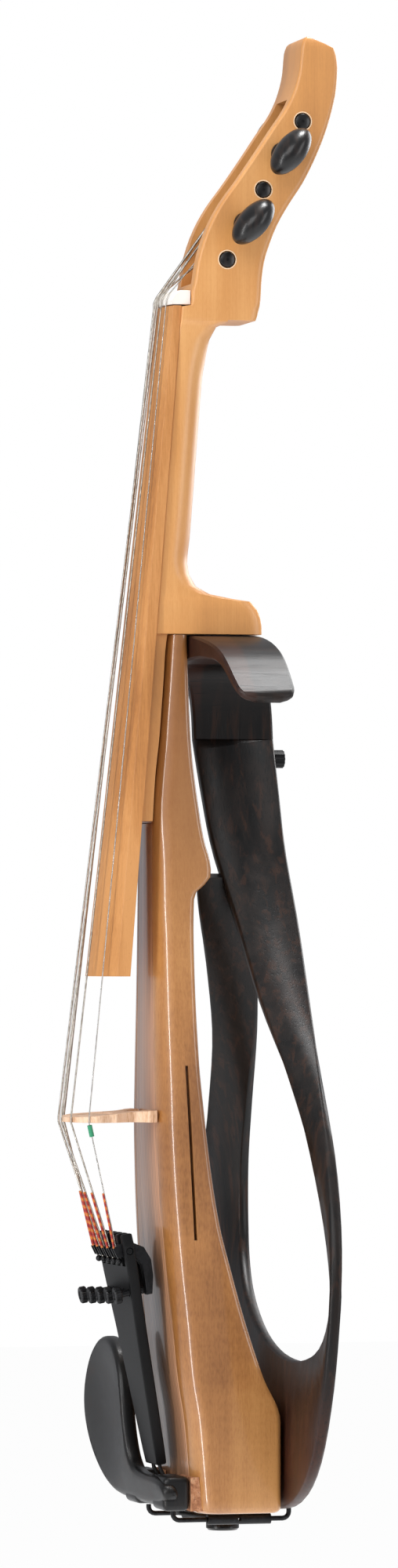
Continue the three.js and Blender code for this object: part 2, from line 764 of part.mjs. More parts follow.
function makeFingerboard() {
  const rings = [boardEnd, nutZ].map((height) => {
    const { half, under, crown } = boardAt(height);
    return archedSection(height, half, under, crown, FINGERBOARD_RADIUS);
  });
  const hollow = [boardEnd - OVERRUN, boardEnd + FINGERBOARD_HOLLOW_LENGTH].map((height) => {
    const { half, under, crown } = boardAt(height);
    const width = half - FINGERBOARD_WALL;
    return archedSection(height, width, under + OVERRUN, crown + FINGERBOARD_WALL, FINGERBOARD_RADIUS);
  });
  add('fingerboard', skin(rings).subtract(skin(hollow)), boardWood);
}

// Nut: a bar across the end of the fingerboard, its top arched across and sloped back to the pegbox.
const nutBack = headShares[0][1] * HEAD_REACH - CLEARANCE;

const nutLow = nutZ + CLEARANCE + headShares[0][0] * HEAD_HEIGHT;

// Shares of the nut's thickness: up from its lower face, and back from its crown.
const nutShares = [
  [0, 0],
  [0.3, 0],
  [0.7, 0.22],
  [1, 0.62],
];

function makeNut() {
  const rings = nutShares.map(([up, fall]) => archedSection(
    nutLow + up * NUT_THICKNESS,
    FINGERBOARD_NUT_HALF_WIDTH,
    nutBack,
    nutCrown + fall * NUT_THICKNESS,
    FINGERBOARD_RADIUS,
  ));
  add('nut', skin(rings), bone);
}

// A place above an arc whose crown faces -X, lifted square to the arc.
function overArc(crown, radius, offset, lift, height) {
  const angle = Math.asin(offset / radius);
  const reach = radius + lift;
  return new THREE.Vector3(crown + radius - reach * Math.cos(angle), reach * Math.sin(angle), height);
}

// Bridge: two feet, a cut-out centre and a crown on one arc, thinner at the top.
// Shares: across in half spans and up in heights, one side only.
const bridgeSideShares = [
  [0.4, 0],
  [1, 0],
  [1, 0.09],
  [0.84, 0.15],
  [0.7, 0.24],
  [0.72, 0.34],
  [0.86, 0.42],
  [0.99, 0.5],
  [0.96, 0.58],
  [1.06, 0.66],
];

const bridgeHeartShares = [
  [0, 0.36],
  [0.16, 0.46],
  [0.17, 0.55],
  [0.07, 0.58],
  [0, 0.53],
];

const bridgeKidneyShares = [
  [0.42, 0.4],
  [0.62, 0.47],
  [0.72, 0.57],
  [0.56, 0.58],
  [0.4, 0.5],
];

function mirrored(points) {
  return [...points, ...points.filter(([y]) => y !== 0).map(([y, z]) => [-y, z]).reverse()];
}

function bridgePoint([across, up]) {
  return [across * BRIDGE_HALF_SPAN, -(bridgeFoot - up * BRIDGE_HEIGHT)];
}

function makeBridge() {
  const edge = BRIDGE_HALF_SPAN * 1.09;
  const side = bridgeSideShares.map(bridgePoint);
  const crown = [];
  for (let i = 0; i <= 12; i += 1) {
    const y = edge - (2 * edge * i) / 12;
    crown.push([y, -(bridgeCrown + crownDrop(BRIDGE_RADIUS, y))]);
  }
  const outline = [
    ...side,
    ...crown,
    ...side.map(([y, x]) => [-y, x]).reverse(),
    bridgePoint([-0.33, 0.14]),
    bridgePoint([0, 0.22]),
    bridgePoint([0.33, 0.14]),
  ];
  const holes = [
    mirrored(bridgeHeartShares).map(bridgePoint),
    bridgeKidneyShares.map(bridgePoint),
    bridgeKidneyShares.map(([across, up]) => bridgePoint([-across, up])),
  ];
  const geometry = new THREE.ExtrudeGeometry(outlineOf(outline, holes), {
    depth: BRIDGE_FOOT_THICKNESS,
    bevelEnabled: false,
  });
  const turn = new THREE.Matrix4().makeBasis(
    new THREE.Vector3(0, 1, 0),
    new THREE.Vector3(-1, 0, 0),
    new THREE.Vector3(0, 0, 1),
  );
  geometry.applyMatrix4(turn);
  geometry.translate(0, 0, BRIDGE_Z);
  const taper = sidePrism([
    [bridgeFoot + OVERRUN, BRIDGE_Z + BRIDGE_FOOT_THICKNESS],
    [bridgeCrown - OVERRUN, BRIDGE_Z + BRIDGE_CROWN_THICKNESS],
    [bridgeCrown - OVERRUN, BRIDGE_Z + 2 * BRIDGE_FOOT_THICKNESS],
    [bridgeFoot + OVERRUN, BRIDGE_Z + 2 * BRIDGE_FOOT_THICKNESS],
  ], -2 * BRIDGE_HALF_SPAN, 2 * BRIDGE_HALF_SPAN);
  add('bridge', solidOf(geometry).subtract(taper), bridgeWood);
}

// Tailpiece: worked in its own frame, upright along its length, then tilted about its foot.
const tail = new THREE.Group();
tail.position.set(-TAILPIECE_FOOT_X, 0, TAILPIECE_FOOT_Z);
tail.rotation.y = -TAILPIECE_TILT;
violin.add(tail);
tail.updateMatrixWorld(true);

const strings = [
  { name: 'e', order: -2, diameter: STRING_E },
  { name: 'a', order: -1, diameter: STRING_A },
  { name: 'd', order: 0, diameter: STRING_D },
  { name: 'g', order: 1, diameter: STRING_G },
  { name: 'c', order: 2, diameter: STRING_C },
];

// Shares: half width and height of the tailpiece's edge.
const tailEdgeShares = [
  [0.4, 0],
  [0.46, 0.06],
  [0.78, 0.6],
  [0.95, 0.82],
  [1, 0.95],
  [0.96, 1],
];

const axleHeight = TAILPIECE_LENGTH - TUNER_AXLE_DROP;
const tunerScrewZ = axleHeight - TUNER_LEVER_REACH;
const tailFront = -TAILPIECE_THICKNESS / 2;
const leverSlotLow = axleHeight - TUNER_LEVER_REACH * 0.35;

function makeTailpiece() {
  const right = tailEdgeShares.map(([y, z]) => [y * TAILPIECE_HALF_WIDTH, z * TAILPIECE_LENGTH]);
  const outline = [...right, ...right.map(([y, z]) => [-y, z]).reverse()];
  let plate = softPrism(outline, tailFront, -tailFront, TAILPIECE_RIM);
  for (const { order } of strings) {
    const y = order * TAIL_STRING_PITCH;
    const half = TUNER_LEVER_WIDTH / 2 + CLEARANCE;
    plate = plate.subtract(block(
      tailFront - OVERRUN,
      -tailFront + OVERRUN,
      y - half,
      y + half,
      leverSlotLow,
      TAILPIECE_LENGTH + OVERRUN,
    ));
    plate = plate.subtract(rod(
      TUNER_SCREW_RADIUS + CLEARANCE,
      tailFront - OVERRUN,
      -tailFront + OVERRUN,
      'x',
      new THREE.Vector3(0, y, tunerScrewZ),
      12,
    ));
  }
  const reach = TAILPIECE_HALF_WIDTH;
  const axle = new THREE.Vector3(0, 0, axleHeight);
  plate = plate.subtract(rod(TUNER_AXLE_RADIUS + CLEARANCE, -reach, reach, 'y', axle, 12));
  for (const side of [-1, 1]) {
    plate = plate.subtract(rod(
      TAIL_CORD_DIAMETER / 2 + CLEARANCE,
      -OVERRUN,
      TAILPIECE_THICKNESS + OVERRUN,
      'z',
      new THREE.Vector3(0, side * TAIL_CORD_PITCH / 2, 0),
      12,
    ));
  }
  add('tailpiece', plate, blackPlastic, tail);
  add('tuner_axle', rod(TUNER_AXLE_RADIUS, -reach * 0.97, reach * 0.97, 'y', axle, 12), steel, tail);
}

// Each lever forks over the string's end in front, runs through its slot and bows down behind the plate.
// Shares of the lever's reach, from its axle: forward is negative.
const leverShares = [
  [-0.3, -0.1],
  [-0.36, 0.12],
  [-0.2, 0.2],
  [0.12, 0.2],
  [0.4, 0.02],
  [0.52, -0.3],
  [0.5, -0.7],
  [0.4, -1.12],
  [0.26, -1.12],
  [0.28, -0.75],
  [0.28, -0.4],
  [0.12, -0.14],
];

function makeTuners() {
  for (const { name, order } of strings) {
    const y = order * TAIL_STRING_PITCH;
    const half = TUNER_LEVER_WIDTH / 2;
    const outline = leverShares.map(([x, z]) => (
      [x * TUNER_LEVER_REACH, axleHeight + z * TUNER_LEVER_REACH]
    ));
    const axleHole = rod(
      TUNER_AXLE_RADIUS + CLEARANCE,
      -TAIL_STRING_PITCH,
      TAIL_STRING_PITCH,
      'y',
      new THREE.Vector3(0, y, axleHeight),
      12,
    );
    const fork = block(
      -TUNER_LEVER_REACH,
      -TUNER_LEVER_REACH * 0.2,
      y - TUNER_FORK_WIDTH / 2,
      y + TUNER_FORK_WIDTH / 2,
      axleHeight - TUNER_LEVER_REACH,
      axleHeight + TUNER_LEVER_REACH,
    );
    const lever = sidePrism(outline, y - half, y + half).subtract(axleHole).subtract(fork);
    add(`tuner_lever_${name}`, lever, blackMetal, tail);
    const head = tailFront - TUNER_STAND - (order + 2) * TUNER_STAND_STEP;
    const tip = 0.262 * TUNER_LEVER_REACH - CLEARANCE;
    const screw = turned([
      [0, head - TUNER_HEAD_LENGTH],
      [TUNER_HEAD_RADIUS * 0.85, head - TUNER_HEAD_LENGTH],
      [TUNER_HEAD_RADIUS, head - TUNER_HEAD_LENGTH * 0.85],
      [TUNER_HEAD_RADIUS, head - TUNER_HEAD_LENGTH * 0.15],
      [TUNER_HEAD_RADIUS * 0.85, head],
      [TUNER_SCREW_RADIUS, head],
      [TUNER_SCREW_RADIUS, tip],
      [0, tip],
    ], 'x', new THREE.Vector3(0, y, tunerScrewZ), 14);
    add(`tuner_screw_${name}`, screw, blackMetal, tail);
  }
}

// Strings: each is one unbroken tube from its turns on the peg, over nut and bridge, to the ball under its tuner.
const coilGaps = [];

function coilStations(peg, diameter, entry) {
  const radius = PEG_HEAD_END_RADIUS + CLEARANCE + diameter / 2;
  const toPeg = new THREE.Vector2(peg.x - entry.x, peg.z - entry.z);
  const heading = Math.atan2(toPeg.y, toPeg.x) + Math.asin(radius / toPeg.length());
  const start = heading + Math.PI / 2;
  const pitch = diameter + STRING_COIL_GAP;
  const stations = [];
  for (let i = 0; i <= STRING_COIL_LOOPS * LOOP_STEPS; i += 1) {
    const turn = i / LOOP_STEPS;
    const angle = start - turn * 2 * Math.PI;
    stations.push(new THREE.Vector3(
      peg.x + radius * Math.cos(angle),
      peg.coilY + peg.side * pitch * turn,
      peg.z + radius * Math.sin(angle),
    ));
  }
  let least = Infinity;
  for (let i = 0; i < stations.length; i += 1) {
    for (let j = i + LOOP_STEPS / 2; j < stations.length; j += 1) {
      least = Math.min(least, stations[i].distanceTo(stations[j]) - diameter);
    }
  }
  coilGaps.push(least);
  return stations.reverse();
}

function stringRoute({ name, order, diameter }) {
  const peg = pegs.find((one) => one.name === name);
  const lift = diameter / 2 + CLEARANCE;
  const atNut = order * NUT_STRING_PITCH;
  const atBridge = order * BRIDGE_STRING_PITCH;
  const overNut = [nutShares[2], nutShares[1], nutShares[0]].map(([up, fall]) => overArc(
    nutCrown + fall * NUT_THICKNESS,
    FINGERBOARD_RADIUS,
    atNut,
    lift * (1 + fall),
    nutLow + up * NUT_THICKNESS + fall * lift,
  ));
  const overBridge = [BRIDGE_CROWN_THICKNESS, 0].map((depth) => (
    overArc(bridgeCrown, BRIDGE_RADIUS, atBridge, lift, BRIDGE_Z + depth)
  ));
  const hook = new THREE.Vector3(
    -0.246 * TUNER_LEVER_REACH,
    order * TAIL_STRING_PITCH,
    axleHeight - 0.205 * TUNER_LEVER_REACH,
  );
  return [
    ...coilStations(peg, diameter, overNut[0]),
    ...overNut,
    ...overBridge,
    hook.applyMatrix4(tail.matrixWorld),
  ];
}

function makeStrings() {
  for (const string of strings) {
    const route = stringRoute(string);
    const end = route[route.length - 1];
    const ball = new THREE.SphereGeometry(STRING_BALL_RADIUS, 10, 8);
    ball.translate(end.x, end.y, end.z);
    const wire = solidOf(cordGeometry(route, string.diameter));
    add(`string_${string.name}`, wire.add(solidOf(ball)), steel);
  }
  console.log(`least gap between turns of a string: ${Math.min(...coilGaps).toFixed(2)} mm`);
}

// A small sleeve rides on the thinnest string where it crosses the bridge.
function makeSleeve() {
  const route = stringRoute(strings[0]);
  const last = route.length - 1;
  const along = route[last].clone().sub(route[last - 1]).normalize();
  const start = route[last - 1].clone().addScaledVector(along, STRING_SLEEVE_RADIUS);
  const end = start.clone().addScaledVector(along, STRING_SLEEVE_LENGTH);
  const outer = solidOf(cordGeometry([start, end], 2 * STRING_SLEEVE_RADIUS, 10));
  const inner = solidOf(cordGeometry([
    start.clone().addScaledVector(along, -OVERRUN),
    end.clone().addScaledVector(along, OVERRUN),
  ], STRING_E + 2 * CLEARANCE, 10));
  add('string_sleeve', outer.subtract(inner), sleeveGreen);
}

// End button: turned with a groove for the tail cord and a pin in the body.
const buttonCollar = BUTTON_HEAD_LENGTH + BUTTON_GROOVE_LENGTH;

function makeEndButton() {
  add('end_button', turned([
    [0, 0],
    [BUTTON_HEAD_RADIUS * 0.88, 0],
    [BUTTON_HEAD_RADIUS, BUTTON_HEAD_LENGTH * 0.2],
    [BUTTON_HEAD_RADIUS, BUTTON_HEAD_LENGTH * 0.75],
    [BUTTON_GROOVE_RADIUS, BUTTON_HEAD_LENGTH],
    [BUTTON_GROOVE_RADIUS, buttonCollar],
    [BUTTON_COLLAR_RADIUS, buttonCollar + CLEARANCE],
    [BUTTON_COLLAR_RADIUS, BODY_FOOT - CLEARANCE],
    [BUTTON_PIN_RADIUS, BODY_FOOT - CLEARANCE],
    [BUTTON_PIN_RADIUS * 0.9, BODY_FOOT + BUTTON_PIN_LENGTH],
    [0, BODY_FOOT + BUTTON_PIN_LENGTH],
  ], 'z', new THREE.Vector3()), ebony);
}

function makeSaddle() {
  const front = saddleFront - CLEARANCE * 3;
  const low = BODY_FOOT - CLEARANCE;
  const back = saddleFront + SADDLE_DEPTH;
  add('saddle', sidePrism([
    [front, low + SADDLE_HEIGHT * 0.4],
    [front + SADDLE_DEPTH * 0.3, low],
    [back, low],
    [back, low + SADDLE_HEIGHT],
    [front, low + SADDLE_HEIGHT],
  ], -SADDLE_WIDTH / 2, SADDLE_WIDTH / 2), ebony);
}

// The tail cord is one loop, from one side of the tailpiece round the button and back to the other side.
function makeTailCord() {
  const half = TAIL_CORD_PITCH / 2;
  const lift = TAIL_CORD_DIAMETER / 2 + CLEARANCE;
  const round = BUTTON_GROOVE_RADIUS + lift;
  const level = BUTTON_HEAD_LENGTH + BUTTON_GROOVE_LENGTH / 2;
  const anchor = new THREE.Vector3(0, half, TAILPIECE_THICKNESS * 0.6).applyMatrix4(tail.matrixWorld);
  const front = saddleFront - CLEARANCE * 3 - lift;
  const leg = [
    anchor,
    new THREE.Vector3(0, half, -TAIL_CORD_DIAMETER).applyMatrix4(tail.matrixWorld),
    new THREE.Vector3(front, half, BODY_FOOT + SADDLE_HEIGHT * 1.1),
    new THREE.Vector3(front, half, BODY_FOOT + SADDLE_HEIGHT * 0.25),
    new THREE.Vector3(front + SADDLE_DEPTH * 0.3, half, BODY_FOOT - CLEARANCE - lift),
    new THREE.Vector3(-round, round, level),
  ];
  const loop = [];
  for (let i = 0; i <= 12; i += 1) {
    const angle = Math.PI / 2 - (i / 12) * Math.PI;
    loop.push(new THREE.Vector3(round * Math.cos(angle), round * Math.sin(angle), level));
  }
  const back = leg.map((point) => new THREE.Vector3(point.x, -point.y, point.z)).reverse();
  add('tail_cord', solidOf(cordGeometry([...leg, ...loop, ...back], TAIL_CORD_DIAMETER, 8)), cordMaterial);
}

// Chin rest: a dished plate on the bass side, carried by a bar in front of the tailpiece's foot.
// Shares: across in reaches and up in heights.
const chinRestShares = [
  [-0.41, 0.02],
  [-0.41, 0.2],
  [0.14, 0.21],
  [0.2, 0.26],
  [0.22, 0.42],
  [0.235, 0.62],
  [0.29, 0.82],
  [0.39, 0.95],
  [0.53, 1],
  [0.7, 0.97],
  [0.86, 0.86],
  [0.96, 0.7],
  [1, 0.52],
  [0.97, 0.34],
  [0.87, 0.17],
  [0.72, 0.05],
  [0.5, 0],
];

function chinFoot(side, fromX, toX, inset) {
  const near = side * (CHIN_FOOT_INNER + inset);
  const far = side * (CHIN_FOOT_INNER + CHIN_FOOT_WIDTH - inset);
  return block(
    fromX,
    toX,
    Math.min(near, far),
    Math.max(near, far),
    CHIN_REST_FOOT + inset,
    CHIN_REST_FOOT + CHIN_FOOT_HEIGHT - inset,
  );
}

function makeChinRest() {
  const outline = chinRestShares.map(([y, z]) => [y * CHIN_REST_REACH, CHIN_REST_FOOT + z * CHIN_REST_HEIGHT]);
  const back = -CHIN_REST_FRONT + CHIN_REST_THICKNESS;
  let rest = softPrism(outline, -CHIN_REST_FRONT, back, CHIN_REST_RIM);
  const dish = new THREE.SphereGeometry(CHIN_REST_DISH_RADIUS, 40, 24);
  dish.translate(
    -CHIN_REST_FRONT - CHIN_REST_DISH_RADIUS + CHIN_REST_DISH_DEPTH,
    CHIN_REST_REACH * 0.6,
    CHIN_REST_FOOT + CHIN_REST_HEIGHT * 0.5,
  );
  rest = rest.subtract(solidOf(dish));
  const seat = bodyAt(BODY_FOOT + SADDLE_HEIGHT).front - CORK_THICKNESS;
  for (const side of [-1, 1]) {
    rest = rest.add(chinFoot(side, back - OVERRUN, seat, 0));
  }
  add('chin_rest', rest, ebony);
  const shape = bodyForm(CLEARANCE);
  const pads = [-1, 1].map((side) => (
    chinFoot(side, seat + CLEARANCE, seat + CORK_THICKNESS + BODY_SHOULDER_ROUND, CLEARANCE).subtract(shape)
  ));
  add('chin_rest_cork_treble', pads[0], cork);
  add('chin_rest_cork_bass', pads[1], cork);
}

// Chin rest clamps: a front hook up to the rest, a turnbuckle barrel under the body and a hook behind the frame.
function bend(centreX, centreZ, startAngle, sweep, y) {
  const stations = [];
  for (let i = 0; i <= 4; i += 1) {
    const angle = startAngle + (i / 4) * sweep;
    stations.push(new THREE.Vector3(
      centreX + CLAMP_BEND * Math.cos(angle),
      y,
      centreZ + CLAMP_BEND * Math.sin(angle),
    ));
  }
  return stations;
}

const clampFront = bodyAt(BODY_FOOT + SADDLE_HEIGHT).front - CORK_THICKNESS - CLAMP_ROD_RADIUS * 4;
const clampBack = FRAME_DEPTH * 0.7 + CLAMP_ROD_RADIUS * 1.2;

function makeClamp(label, side) {
  const y = side * CLAMP_OFFSET;
  const barrelStart = clampFront + CLAMP_BARREL_LENGTH * 0.54;
  const barrelEnd = barrelStart + CLAMP_BARREL_LENGTH;
  const level = new THREE.Vector3(0, y, CLAMP_HEIGHT);
  const turnHeight = CLAMP_HEIGHT + CLAMP_BEND;
  const frontStations = [
    new THREE.Vector3(clampFront, y, CHIN_REST_FOOT - CLEARANCE),
    ...bend(clampFront + CLAMP_BEND, turnHeight, Math.PI, Math.PI / 2, y),
    new THREE.Vector3(barrelStart + CLAMP_ROD_SEAT, y, CLAMP_HEIGHT),
  ];
  const backStations = [
    new THREE.Vector3(barrelEnd - CLAMP_ROD_SEAT, y, CLAMP_HEIGHT),
    ...bend(clampBack - CLAMP_BEND, turnHeight, -Math.PI / 2, Math.PI / 2, y),
    new THREE.Vector3(clampBack, y, turnHeight + CLAMP_BEND * 2),
  ];
  const rodDiameter = 2 * CLAMP_ROD_RADIUS;
  add(`clamp_front_hook_${label}`, solidOf(cordGeometry(frontStations, rodDiameter, 10)), blackMetal);
  add(`clamp_back_hook_${label}`, solidOf(cordGeometry(backStations, rodDiameter, 10)), blackMetal);
  let barrel = rod(CLAMP_BARREL_RADIUS, barrelStart, barrelEnd, 'x', level);
  const seatRadius = CLAMP_ROD_RADIUS + CLEARANCE;
  const seatDepth = CLAMP_ROD_SEAT + CLEARANCE;
  barrel = barrel.subtract(rod(seatRadius, barrelStart - OVERRUN, barrelStart + seatDepth, 'x', level, 12));
  barrel = barrel.subtract(rod(seatRadius, barrelEnd - seatDepth, barrelEnd + OVERRUN, 'x', level, 12));
  const keyHole = new THREE.Vector3((barrelStart + barrelEnd) / 2, y, CLAMP_HEIGHT);
  barrel = barrel.subtract(rod(
    CLAMP_ROD_RADIUS * 0.7,
    -CLAMP_BARREL_RADIUS - OVERRUN,
    CLAMP_BARREL_RADIUS + OVERRUN,
    'y',
    keyHole,
    10,
  ));
  add(`clamp_barrel_${label}`, barrel, blackMetal);
}

// Ribbons: two rails carry the edges, and the face between them twists as the rails turn round each other.
function ribbon(rows, thicknessAt, samples) {
  const outer = new THREE.CatmullRomCurve3(rows.map((row) => row[0]), false, 'centripetal');
  const inner = new THREE.CatmullRomCurve3(rows.map((row) => row[1]), false, 'centripetal');
  const rings = [];
  for (let i = 0; i <= samples; i += 1) {
    const t = i / samples;
    const o = outer.getPoint(t);
    const n = inner.getPoint(t);
    const travel = outer.getTangent(t).add(inner.getTangent(t)).normalize();
    const width = n.clone().sub(o);
    const across = width.clone().normalize();
    const normal = travel.clone().cross(across).normalize();
    const half = thicknessAt(t) / 2;
    const edge = Math.min(FRAME_EDGE, half * 0.6);
    const ring = [
      [0, -(half - edge)],
      [edge, -half],
      [width.length() - edge, -half],
      [width.length(), -(half - edge)],
      [width.length(), half - edge],
      [width.length() - edge, half],
      [edge, half],
      [0, half - edge],
    ];
    rings.push(ring.map(([w, h]) => o.clone().addScaledVector(across, w).addScaledVector(normal, h)));
  }
  return skin(rings);
}

// The long ribbon: down from the arch, across behind the body to the treble side, round the foot,
// up the bass side and in to the lug. Shares of depth, width and height: outer edge, then inner edge.
const ribbonShares = [
  [0.91, 0.129, 1.012, -0.2, 0.129, 1.012],
  [0.917, 0.126, 1, -0.187, 0.126, 1],
  [0.943, 0.095, 0.931, -0.12, 0.097, 0.931],
  [0.963, 0.06, 0.861, -0.033, 0.062, 0.861],
  [0.983, -0.03, 0.763, 0.15, -0.025, 0.763],
  [0.92, -0.15, 0.665, 0.277, -0.135, 0.665],
  [0.83, -0.28, 0.574, 0.46, -0.24, 0.574],
  [0.75, -0.395, 0.483, 0.623, -0.33, 0.483],
  [0.65, -0.485, 0.372, 0.743, -0.4, 0.372],
  [0.58, -0.505, 0.278, 0.783, -0.41, 0.297],
  [0.55, -0.475, 0.183, 0.767, -0.36, 0.246],
  [0.57, -0.38, 0.095, 0.717, -0.25, 0.221],
  [0.633, -0.22, 0.043, 0.667, -0.12, 0.221],
  [0.613, -0.05, 0.0275, 0.643, 0.01, 0.24],
  [0.613, 0.12, 0.031, 0.677, 0.12, 0.268],
  [0.613, 0.28, 0.066, 0.733, 0.21, 0.303],
  [0.6, 0.41, 0.139, 0.8, 0.27, 0.341],
  [0.58, 0.48, 0.24, 0.847, 0.3, 0.379],
  [0.557, 0.485, 0.347, 0.86, 0.305, 0.423],
  [0.53, 0.43, 0.448, 0.843, 0.285, 0.473],
  [0.45, 0.345, 0.53, 0.833, 0.24, 0.549],
  [0.3, 0.24, 0.621, 0.807, 0.18, 0.637],
  [0.067, 0.155, 0.703, 0.683, 0.115, 0.716],
  [-0.2, 0.07, 0.779, 0.5, 0.0575, 0.782],
  [-0.302, 0.035, 0.825, 0.333, 0.035, 0.825],
];

// The two parts of the frame meet square at a seam on the bass leg.
function seamCut(height, direction) {
  const far = height + direction * ARCH_HEIGHT / 2;
  return block(
    -FRAME_DEPTH,
    2 * FRAME_DEPTH,
    FRAME_THICKNESS,
    ARCH_HALF_SPAN,
    Math.min(height, far),
    Math.max(height, far),
  );
}

function makeRibbonFrame() {
  const rows = ribbonShares.map(([ox, oy, oz, nx, ny, nz]) => [
    new THREE.Vector3(ox * FRAME_DEPTH, oy * FRAME_WIDTH, oz * frameSeam),
    new THREE.Vector3(nx * FRAME_DEPTH, ny * FRAME_WIDTH, nz * frameSeam),
  ]);
  const frame = ribbon(rows, () => FRAME_THICKNESS, 92).subtract(seamCut(frameSeam - SEAM_GAP, 1));
  add('ribbon_frame', frame, darkWood);
}

// The shoulder arch: a free treble shoulder, a thick crown under the heel and a leg down the bass side.
// Shares: across in half spans, up in arch heights or down in leg lengths, front and back edges
// in frame depths, thickness.
const archShares = [
  [-1, 0, -0.13, 0.26, 0.28],
  [-0.98, 0.05, -0.25, 0.39, 0.29],
  [-0.945, 0.13, -0.32, 0.443, 0.31],
  [-0.89, 0.265, -0.357, 0.45, 0.34],
  [-0.81, 0.46, -0.39, 0.443, 0.38],
  [-0.714, 0.655, -0.423, 0.433, 0.44],
  [-0.587, 0.81, -0.467, 0.42, 0.53],
  [-0.38, 0.94, -0.54, 0.4, 0.73],
  [-0.19, 1, -0.585, 0.38, 0.92],
  [0, 1, -0.585, 0.4, 1],
  [0.19, 0.97, -0.53, 0.5, 0.92],
  [0.335, 0.8, -0.43, 0.633, 0.73],
  [0.41, 0.5, -0.317, 0.767, 0.58],
  [0.43, 0.12, -0.233, 0.867, 0.49],
  [0.434, -0.37, -0.2, 0.903, 0.43],
  [0.433, -1, -0.187, 0.917, 0.42],
  [0.425, -1.23, -0.18, 0.922, 0.42],
];

function makeShoulderArch() {
  const crownTop = frameTop - CLEARANCE / 3;
  const legLength = ARCH_SEAM_DROP - ARCH_HEIGHT;
  const rows = archShares.map(([across, up, front, back]) => {
    const y = across * ARCH_HALF_SPAN;
    const z = crownTop - ARCH_HEIGHT + up * (up < 0 ? legLength : ARCH_HEIGHT);
    return [new THREE.Vector3(back * FRAME_DEPTH, y, z), new THREE.Vector3(front * FRAME_DEPTH, y, z)];
  });
  const thicknesses = archShares.map((row, i) => [i / (archShares.length - 1), row[4] * ARCH_CROWN_THICKNESS]);
  const thicknessAt = (t) => between(thicknesses, t, 1);
  const shifted = rows.map((pair, i) => {
    const before = rows[Math.max(i - 1, 0)][0];
    const after = rows[Math.min(i + 1, rows.length - 1)][0];
    const along = after.clone().sub(before).setX(0).normalize();
    const inward = new THREE.Vector3(0, along.z, -along.y);
    const depth = thicknesses[i][1] / 2;
    return pair.map((point) => point.clone().addScaledVector(inward, depth));
  });
  add('shoulder_arch', ribbon(shifted, thicknessAt, 40).subtract(seamCut(frameSeam, -1)), darkWood);
}

// Volume control: a small housing on the outside of the ribbon with a fluted knob facing back.
const knobHeight = frameSeam - KNOB_DROP;
const upperRibbonShares = ribbonShares.slice(0, 5).map(([depth, across, , , , up]) => [up, across, depth]).reverse();

// The outside of the ribbon's upper leg at a height.
function ribbonOutside(height) {
  const across = between(upperRibbonShares, height / frameSeam, 1) * FRAME_WIDTH;
  return across + FRAME_THICKNESS / 2 + 2.5 * CLEARANCE;
}

function makeVolumeControl() {
  const back = between(upperRibbonShares, 1, 2) * FRAME_DEPTH - HOUSING_SETBACK;
  const low = knobHeight - HOUSING_HEIGHT / 2;
  const high = knobHeight + HOUSING_HEIGHT / 2;
  const innerHigh = ribbonOutside(high);
  const innerLow = ribbonOutside(low);
  const outerY = innerHigh + HOUSING_WIDTH;
  const centre = new THREE.Vector3(0, (innerHigh + outerY) / 2, knobHeight);
  let housing = frontPrism([
    [innerLow, low],
    [outerY - HOUSING_WIDTH * 0.2, low],
    [outerY, low + HOUSING_WIDTH * 0.3],
    [outerY, high - HOUSING_WIDTH * 0.3],
    [outerY - HOUSING_WIDTH * 0.2, high],
    [innerHigh, high],
  ], back - HOUSING_DEPTH, back);
  housing = housing.subtract(rod(
    KNOB_SHAFT_RADIUS + CLEARANCE,
    back - HOUSING_DEPTH / 2,
    back + OVERRUN,
    'x',
    centre,
    12,
  ));
  add('volume_housing', housing, blackPlastic);
  const flutes = [];
  const steps = KNOB_FLUTES * 2;
  for (let i = 0; i < steps; i += 1) {
    const angle = (i / steps) * 2 * Math.PI;
    const radius = KNOB_RADIUS * (i % 2 === 0 ? 1 : 0.9);
    flutes.push([centre.y + radius * Math.cos(angle), centre.z + radius * Math.sin(angle)]);
  }
  const knobStart = back + CLEARANCE;
  const shaft = rod(KNOB_SHAFT_RADIUS, knobStart - HOUSING_DEPTH * 0.4, knobStart + CLEARANCE, 'x', centre, 12);
  add('volume_knob', frontPrism(flutes, knobStart, knobStart + KNOB_LENGTH).add(shaft), blackPlastic);
}

// Output jack: a flanged barrel let into the bass side of the body.
function makeJack() {
  const flange = CLEARANCE;
  const face = flange + JACK_FLANGE_THICKNESS;
  const end = -JACK_LENGTH + CLEARANCE;
  add('output_jack', turned([
    [JACK_BORE_RADIUS, end],
    [JACK_BARREL_RADIUS, end],
    [JACK_BARREL_RADIUS, flange],
    [JACK_FLANGE_RADIUS, flange],
    [JACK_FLANGE_RADIUS, face - CLEARANCE],
    [JACK_FLANGE_RADIUS - CLEARANCE, face],
    [JACK_BORE_RADIUS, face],
    [JACK_BORE_RADIUS, end],
  ], 'y', jackCentre, 24), steel);
}

makeBody();
makeTopPlate();
makePickup();
makeNeck();
makePegs();
makeFingerboard();
makeNut();
makeBridge();
makeTailpiece();
makeTuners();
makeStrings();
makeSleeve();
makeEndButton();
makeSaddle();
makeTailCord();
makeChinRest();
makeClamp('treble', -1);
makeClamp('bass', 1);
makeRibbonFrame();
makeShoulderArch();
makeVolumeControl();
makeJack();

export default violin;
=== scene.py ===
"""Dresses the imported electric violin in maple, spruce, walnut and ebony, with its small trim.

Everything is in metres and in the part's own frame: +Z runs up to the head, -X faces the strings,
+X is the back, -Y is the treble side and +Y the bass side.
"""

from __future__ import annotations

import bisect
import json
import logging
import math
from dataclasses import dataclass, field
from enum import Enum

import bmesh  # noqa: E402
import bpy  # noqa: E402
from mathutils import Matrix, Vector  # noqa: E402

